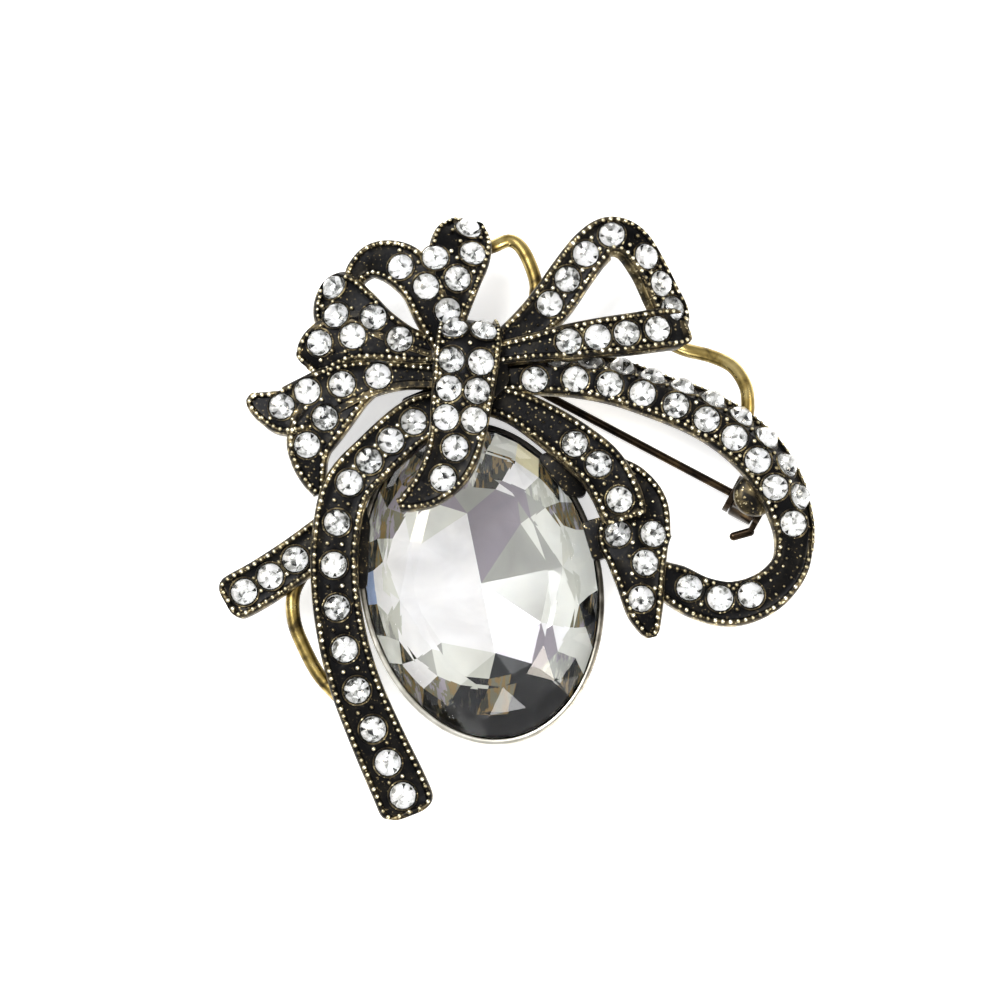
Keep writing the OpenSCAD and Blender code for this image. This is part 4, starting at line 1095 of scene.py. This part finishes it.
# %% Setting the small stones
CUT_SHARE = 0.96
draw = random.Random(11)
for field, keys in FIELDS.items():
    frames = []
    for key in keys:
        for s in stones_in(key):
            at, right, along, up = floor_frame(rows_of(key), *s, SEAT_GAP)
            along, right = turned(along, right, draw.uniform(0, 2 * math.pi))
            frames.append((at, right * CUT_SHARE, along * CUT_SHARE, up))
    stones = scatter("cut_" + field, chaton, frames, np.array([draw.uniform(-0.22, 0.1) for f in frames]))
    dress(stones, clear_glass, small_foil)
    finish_piece(stones, "bow", "small_glass", field)
    print(stones.name, "stones", len(frames))
bpy.data.objects.remove(chaton)

# %% [markdown]
# ## Seat rings
# A thin, dark ring of metal shows round each stone where its seat was opened. A torus is that
# ring in one step. It stays coarse, because there is one round every stone and each is seen small.

# %% Seat rings
clear_selection()
bpy.ops.mesh.primitive_torus_add(major_segments=28, minor_segments=6, major_radius=1.4 * MM,
                                 minor_radius=0.07 * MM)
hoop = bpy.context.object
hoop.name = "seat_ring"
keep_wear(hoop, 0.5)
rings = scatter("seat_rings", hoop, sized(seats, 1, SEAT_GAP - 0.02))
rings.data.shade_smooth()
dress(rings, cast_brass)
finish_piece(rings, "bow", "antique_brass")
bpy.data.objects.remove(hoop)
print("seat rings", len(seats))

# %% [markdown]
# ## Ball prongs
# Small balls were cast between the stones and pressed over their girdles. Along a row they stand in
# pairs half-way between two stones, and round a single stone at four corners. Candidates are laid
# everywhere and thinned out where they would touch, which is how the real ones merge.

# %% Ball prongs
PRONG_LIFT = 0.12
PRONG_REACH = 1.62
PRONG_ROOM = 0.12
PRONG_PITCH = 0.85
NEIGHBOURS = 5.2
# How far from the middle of a run of stones its pairs stand, in mm
PAIRS = {"long_tail": 0.68, "short_tail": 0.68, "right_tail": 0.68, "upper_loop_back": 0.68,
         "upper_loop_front": 0.95, "loop_outer": 1.0, "loop_inner": 1.0}


def pairs(rows, spots, reach):
    """Balls half-way between neighbouring stones, reach mm to both sides."""
    frames = []
    for a, b in zip(spots, spots[1:]):
        if not 0 < b[0] - a[0] < NEIGHBOURS:
            continue
        middle = (a[0] + b[0]) / 2
        half = half_of(rows, row_number(rows, middle))
        for offset in (-reach, reach):
            x = (a[1] + b[1]) / 2 + offset / half
            if abs(x) < 1 - RIM_W / half:
                frames.append(floor_frame(rows, middle, x, PRONG_LIFT))
    return frames


def corners(rows, spots):
    """Balls at four corners of each single stone, where the floor has room for them."""
    frames = []
    for distance, across in spots:
        x = across * half_of(rows, row_number(rows, distance))
        for degrees in (30, 150, 210, 330):
            a = math.radians(degrees)
            d = distance + PRONG_REACH * math.sin(a)
            half = half_of(rows, row_number(rows, d))
            share = (x + PRONG_REACH * math.cos(a)) / half
            if 0 < d < length_of(rows) - RIM_W and abs(share) < 1 - RIM_W / half:
                frames.append(floor_frame(rows, d, share, PRONG_LIFT))
    return frames


prongs = []
for key, reach in PAIRS.items():
    prongs += pairs(rows_of(key), stones_in(key), reach)
for pitches in (1.2, 2.2, 3.15, 4.15):
    prongs += [floor_frame(KNOT, pitches * GEM_PITCH, across, PRONG_LIFT) for across in (-0.78, -0.05, 0.78)]
for key in SPOTS:
    if key != "knot":
        prongs += corners(rows_of(key), stones_in(key))
kept = []
for f in clear_of_stones(prongs, PRONG_ROOM):
    if all(np.linalg.norm(f[0] - k[0]) > PRONG_PITCH for k in kept):
        kept.append(f)
bead_field("ball_prongs", kept, random.Random(5), -0.25, 0.05)

# %% [markdown]
# ## Punched beads on the empty floors
# Where a ribbon narrows no stone fits, and the floor carries rows of small raised dots instead.
# They could be a bump in the material, but real geometry catches the light at its tips, and it
# is part of the mesh too.

# %% Punched beads
DOT_PITCH = 0.95
DOT_SIZE = 0.7
# Ribbon, first and last place as shares of its length, places across
DOTS = [
    ("right_tail", 0.16, 0.50, (-0.45, 0.0, 0.45)), ("upper_loop_back", 0.04, 0.19, (-0.35, 0.3)),
    ("upper_loop_front", 0.10, 0.36, (-0.3, 0.3)), ("top_fan_right", 0.04, 0.20, (-0.3, 0.3)),
    ("top_fan_left", 0.15, 0.50, (-0.4, 0.2)), ("left_fan_upper", 0.15, 0.48, (-0.2, 0.3)),
    ("left_fan_lower", 0.08, 0.22, (-0.3, 0.3)), ("left_tail_upper", 0.08, 0.30, (-0.2, 0.3)),
    ("left_tail_lower", 0.62, 0.95, (-0.2, 0.3)), ("right_tail_fold", 0.10, 0.36, (-0.5, 0.0, 0.5)),
    ("right_tail_fold", 0.72, 0.94, (-0.3, 0.3)), ("big_loop", 0.64, 0.82, (-0.35, 0.35)),
    ("knot", 0.86, 0.95, (-0.3, 0.3)), ("short_tail", 0.10, 0.26, (-0.4, 0.0, 0.4))]
dots = []
for name, first, last, places in DOTS:
    rows = RIBBONS[name][0]
    total = length_of(rows)
    count = max(2, round((last - first) * total / DOT_PITCH))
    for i in range(count):
        for k, across in enumerate(places):
            d = (first + (last - first) * (i + 0.5 * (k % 2)) / count) * total
            dots.append(floor_frame(rows, d, across))
bead_field("punched_dots", sized(clear_of_stones(dots, 0.3), DOT_SIZE), random.Random(9), -0.4, -0.1)

# %% [markdown]
# ## The cup of the oval stone
# The cup was raised from sheet: a flat foot, a sloping side, an upright wall and a rolled lip. It
# could be extruded and scaled ring by ring. Drawn as oval rings from the foot round the lip and
# down the inside, it keeps the stone's own outline at every height.

# %% Cup
OVAL_W, OVAL_L, OVAL_LEAN = 22.0, 30.2, math.radians(11.5)
OVAL_AT = (-0.060, -0.099)
GIRDLE_Z = 4.9
LIP_Z = GIRDLE_Z + 0.45
CUP_STEPS = 96
# How far each ring stands outside the girdle, and its height
CUP_PROFILE = [
    (-5.2, 0.0), (-4.9, 0.05), (0.12, 2.5), (0.4, 3.2), (0.62, 3.9), (0.62, LIP_Z - 0.2), (0.56, LIP_Z - 0.05),
    (0.42, LIP_Z), (0.22, LIP_Z), (0.12, LIP_Z - 0.06), (0.12, GIRDLE_Z - 0.5), (-1.6, 2.75), (-3.8, 1.75),
    (-7.4, 1.05)]


def oval_ring(grow, height, count, turn=0.0, grow_l=None):
    """A ring like the girdle of the oval, larger by grow in its half width and half length."""
    centre = spot_at(OVAL_AT)
    ring = []
    for i in range(count):
        a = 2 * math.pi * (i + turn) / count
        x = (OVAL_W / 2 + grow) * math.cos(a)
        y = (OVAL_L / 2 + (grow if grow_l is None else grow_l)) * math.sin(a)
        ring.append((centre[0] + x * math.cos(OVAL_LEAN) - y * math.sin(OVAL_LEAN),
                     centre[1] + x * math.sin(OVAL_LEAN) + y * math.cos(OVAL_LEAN), height))
    return ring


# Lighter at the lower end and darker at the upper one
lighter_at_lower_end = [0.5 - 0.4 * math.sin(2 * math.pi * i / CUP_STEPS + 0.5) for i in range(CUP_STEPS)]
cup = loft("oval_cup", [oval_ring(grow, z, CUP_STEPS) for grow, z in CUP_PROFILE], [lighter_at_lower_end] * len(CUP_PROFILE))
smooth(cup, 35)
dress(cup, cup_silver)
finish_piece(cup, "bow", "antique_brass", "bow_frame")
print("cup lip at", round(LIP_Z, 2), "mm")

# %% [markdown]
# ## The oval stone
# The oval has a wide table, star and kite facets down to a thin girdle, and a foiled back with two
# tiers of large facets round a keel. It is stretched over its rings as the chatons are. Each back
# facet keeps a tone: pale in the middle, lilac grey near the top, olive and black towards the
# lower end, because that is what its facets mirror in the photograph.

# %% Oval stone
OVAL_CROWN_H = OVAL_PAVILION_H = 3.6
POINT_Z = GIRDLE_Z - OVAL_PAVILION_H
# Growth, height, number of corners, turn, and growth of the half length of each ring
OVAL_RINGS = [
    (-4.6, GIRDLE_Z + OVAL_CROWN_H, 16), (-2.1, GIRDLE_Z + 0.62 * OVAL_CROWN_H, 16, 0.5),
    (0, GIRDLE_Z + 0.15, 32), (0, GIRDLE_Z - 0.15, 32), (-1.5, POINT_Z + 2.1, 24, 0, -3.2),
    (-2.7, POINT_Z + 1.25, 24, 0.5, -5.8), (-4.1, POINT_Z + 0.62, 8, 0, -8.2),
    (-OVAL_W / 2, POINT_Z, 1, 0, -OVAL_L / 2)]
# Tones of the back facets, painted reflections, anticlockwise from the right end of the short
# axis: round the point, next to it, further out, and along the girdle. Along the girdle, 0.96 and
# 0.98 are painted tints of fire
POINT_TONES = [0.65, 0.55, 0.95, 0.95, 0.95, 0.95, 0.95, 0.95]
INNER_TONES = [
    0.75, 0.85, 0.65, 0.55, 0.55, 0.65, 0.55, 0.45, 0.85, 0.95, 0.95, 0.85,
    0.95, 0.75, 0.95, 0.65, 0.85, 0.45, 0.75, 0.15, 0.85, 0.55, 0.95, 0.85]
OUTER_TONES = [
    0.85, 0.45, 0.75, 0.95, 0.25, 0.65, 0.55, 0.25, 0.55, 0.45, 0.75, 0.95,
    0.85, 0.75, 0.25, 0.95, 0.45, 0.15, 0.35, 0.05, 0.05, 0.65, 0.85, 0.45]
GIRDLE_TONES = [
    0.85, 0.45, 0.75, 0.25, 0.96, 0.85, 0.25, 0.45, 0.55, 0.15, 0.45, 0.25, 0.55, 0.65, 0.25, 0.98,
    0.25, 0.15, 0.85, 0.25, 0.45, 0.15, 0.05, 0.05, 0.05, 0.05, 0.05, 0.05, 0.25, 0.85, 0.25, 0.15]
# From which height over the point the tones of a ring hold, and its share of flecks
TIERS = [(0, POINT_TONES, 0.0), (0.6, INNER_TONES, 0.0), (1.3, OUTER_TONES, 0.55), (2.2, GIRDLE_TONES, 1.0)]

oval = hull("cut_oval", [corner for ring in OVAL_RINGS for corner in oval_ring(*ring)])
oval_centre = Vector((*spot_at(OVAL_AT), 0)) * MM


def oval_tone(face):
    """The tone of a back facet, by its ring and its direction from the middle of the stone."""
    d = face.center - oval_centre
    x = (d.x * math.cos(OVAL_LEAN) + d.y * math.sin(OVAL_LEAN)) / OVAL_W
    y = (-d.x * math.sin(OVAL_LEAN) + d.y * math.cos(OVAL_LEAN)) / OVAL_L
    height = d.z / MM - POINT_Z
    _, tones, flecks = [tier for tier in TIERS if height > tier[0]][-1]
    tone = spoke(tones, x, y)
    return tone, flecks if 0.1 < tone < 0.8 else 0.0


foil_back(oval, oval_tone)
dress(oval, clear_glass, oval_foil)
finish_piece(oval, "bow", "oval_glass", "oval_stone")
print("oval facets", len(oval.data.polygons))

# %% [markdown]
# ## Core and webs
# Flat webs of metal and a lump behind the knot tie the casting together, and hold the cup by its
# wall. They are hardly seen, so each is only a few round posts with a sheet stretched over them,
# and its edges are bevelled as the casting's are.

# %% Core and webs
WEB_LOW, WEB_TOP = STAND_H - RIBBON_T, STAND_H + RIBBON_T
# For each: places on the bow, places on the cup's wall in degrees, radius of the posts, low, top
WEBS = {
    "core_behind_knot": ([(-0.128, 0.300), (-0.040, 0.304), (-0.030, 0.230), (-0.060, 0.196), (-0.120, 0.196)],
                         [], 1.0, STAND_H, STAND_H + 0.8 * RELIEF_H),
    "web_right": ([(0.076, 0.112), (0.108, 0.074), (0.106, 0.050)], [27, 42], 0.6, STAND_H, WEB_TOP),
    "web_left": ([(-0.184, 0.196), (-0.140, 0.214), (-0.126, 0.190)], [], 0.6, STAND_H, WEB_TOP),
    "web_tails": ([(-0.262, 0.020), (-0.280, -0.100), (-0.284, 0.000)], [151, 172], 0.6, WEB_LOW, WEB_TOP),
    "web_fold": ([(0.140, -0.002), (0.152, -0.050)], [12, 1], 0.5, STAND_H, WEB_TOP)}


def round_at(centre, radius, z, count):
    """A circle of points about a place of the bow."""
    return [(centre[0] + x, centre[1] + y, z) for x, y, _ in circle(radius, 0, count)]


def on_cup(degrees):
    """A place in the middle of the cup's wall."""
    return np.array(oval_ring(0.37, 0, 360)[degrees][:2])


def bevel(obj, width, steps, angle):
    """Rounds the edges that are sharper than an angle, width mm wide."""
    activate(obj)
    rounder = obj.modifiers.new("rounder", "BEVEL")
    rounder.width = width * MM
    rounder.segments = steps
    rounder.angle_limit = math.radians(angle)
    bpy.ops.object.modifier_apply(modifier=rounder.name)


for name, (places, degrees, radius, low, top) in WEBS.items():
    posts = [spot_at(p) for p in places] + [on_cup(d) for d in degrees]
    web = hull(name, [corner for p in posts for z in (low, top) for corner in round_at(p, radius, z, 16)])
    bevel(web, 0.12, 2, 30)
    keep_wear(web, 0.16)
    smooth(web, 35)
    dress(web, cast_brass)
    finish_piece(web, "bow", "antique_brass", "bow_frame")
    print(name, "faces", len(web.data.polygons))

# %% [markdown]
# ## The pad of the catch
# The catch hangs on a round pad, soldered under the inner edge of the big loop. A cylinder would
# look sawn off, so rings of shrinking size give it a soft shoulder, as solder leaves it.

# %% Pad of the catch
CATCH_AT = spot_at((0.393, 0.041)) + np.array([0.4, 0.2])
PAD_R = 2.05
PAD_STEPS = 40
# Radius of each ring and its height over the pad's foot
PAD_PROFILE = [(0.01, 0), (PAD_R - 0.1, 0), (PAD_R, 0.12), (PAD_R, 0.7), (PAD_R - 0.1, 0.95),
               (PAD_R - 0.4, 1.2), (PAD_R - 0.9, 1.36), (0.01, 1.4)]
pad_rings = [round_at(CATCH_AT, r, STAND_H + z, PAD_STEPS) for r, z in PAD_PROFILE]
pad = loft("catch_pad", pad_rings, [[0.46] * PAD_STEPS] * len(pad_rings))
smooth(pad, 35)
dress(pad, cast_brass)
finish_piece(pad, "bow", "antique_brass", "bow_frame")
print("catch pad", 2 * PAD_R, "mm across")

# %% [markdown]
# ## Brace wires
# Three wires, drawn and bent by hand, are soldered across the openings from behind. A few places
# chosen along each, with a smooth line through them, give the slightly uneven bends of the real
# ones, which arcs would make too perfect.

# %% Brace wires
BRACE_D = 1.35
# Places and heights of the wires, as shares; the first and last place of each lie inside a ribbon
BRACES = {
    "brace_top": [(-0.067, 0.450, 0.42), (-0.042, 0.460, 0.22), (-0.014, 0.472, 0.15), (0.006, 0.462, 0.15),
                  (0.022, 0.434, 0.15), (0.033, 0.398, 0.15), (0.030, 0.366, 0.22), (0.026, 0.343, 0.44)],
    "brace_right": [(0.244, 0.306, 0.48), (0.262, 0.295, 0.30), (0.288, 0.286, 0.18), (0.330, 0.276, 0.15),
                    (0.366, 0.258, 0.15), (0.387, 0.226, 0.13), (0.391, 0.194, 0.07), (0.389, 0.174, -0.02),
                    (0.386, 0.160, 0.04), (0.381, 0.146, 0.32)],
    "brace_left": [(-0.343, -0.056, 0.14), (-0.356, -0.080, 0.04), (-0.374, -0.118, 0.05),
                   (-0.372, -0.164, 0.05), (-0.355, -0.206, 0.05), (-0.330, -0.250, 0.05),
                   (-0.300, -0.282, 0.10), (-0.279, -0.303, 0.24)]}


def curve_through(points, steps=6):
    """A smooth run of points through a few chosen ones."""
    p = np.array(points, float)
    p = np.vstack([2 * p[0] - p[1], p, 2 * p[-1] - p[-2]])
    out = [between(*p[i - 1:i + 3], f) for i in range(1, len(p) - 2) for f in np.arange(steps) / steps]
    return np.array(out + [p[-2]])


for name, places in BRACES.items():
    line = curve_through([[*spot_at(p), rise(p[2])] for p in places])
    brace = wire(name, line, BRACE_D)
    dress(brace, wire_brass)
    finish_piece(brace, "bow", "antique_brass", "bow_frame")
    print(name, round(run_of(line)[-1], 1), "mm long")

# %% [markdown]
# ## Pin and catch
# The pin keeps the form of the construction, which is already round and exact. The stamped
# findings could be modelled anew, but a copy of each, cleaned of its triangles and bevelled, gets
# the rounded edges that tumbling gives and keeps its fit. All get the dark bronze of findings.

# %% Pin and catch
STAMPED = {"pin_hinge": "bow", "catch_body": "bow", "catch_ring": "catch"}
dress(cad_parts["pin_stem"], dark_bronze)
for name, body in STAMPED.items():
    clear_selection()
    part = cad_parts[name].copy()
    part.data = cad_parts[name].data.copy()
    part.name = part.data.name = "soft_" + name
    bpy.context.scene.collection.objects.link(part)
    faces_out(part, 1e-6)
    edit(part)
    bpy.ops.mesh.dissolve_limited(angle_limit=math.radians(1))
    leave_edit()
    bevel(part, 0.16, 3, 40)
    smooth(part, 40)
    dress(part, dark_bronze)
    finish_piece(part, body, "dark_findings", name)
    print(part.name, "faces", len(part.data.polygons))

# %% [markdown]
# ## Finish
# The bead that served as a pattern is put away.

# %% Finish
bpy.data.objects.remove(bead)
clear_selection()
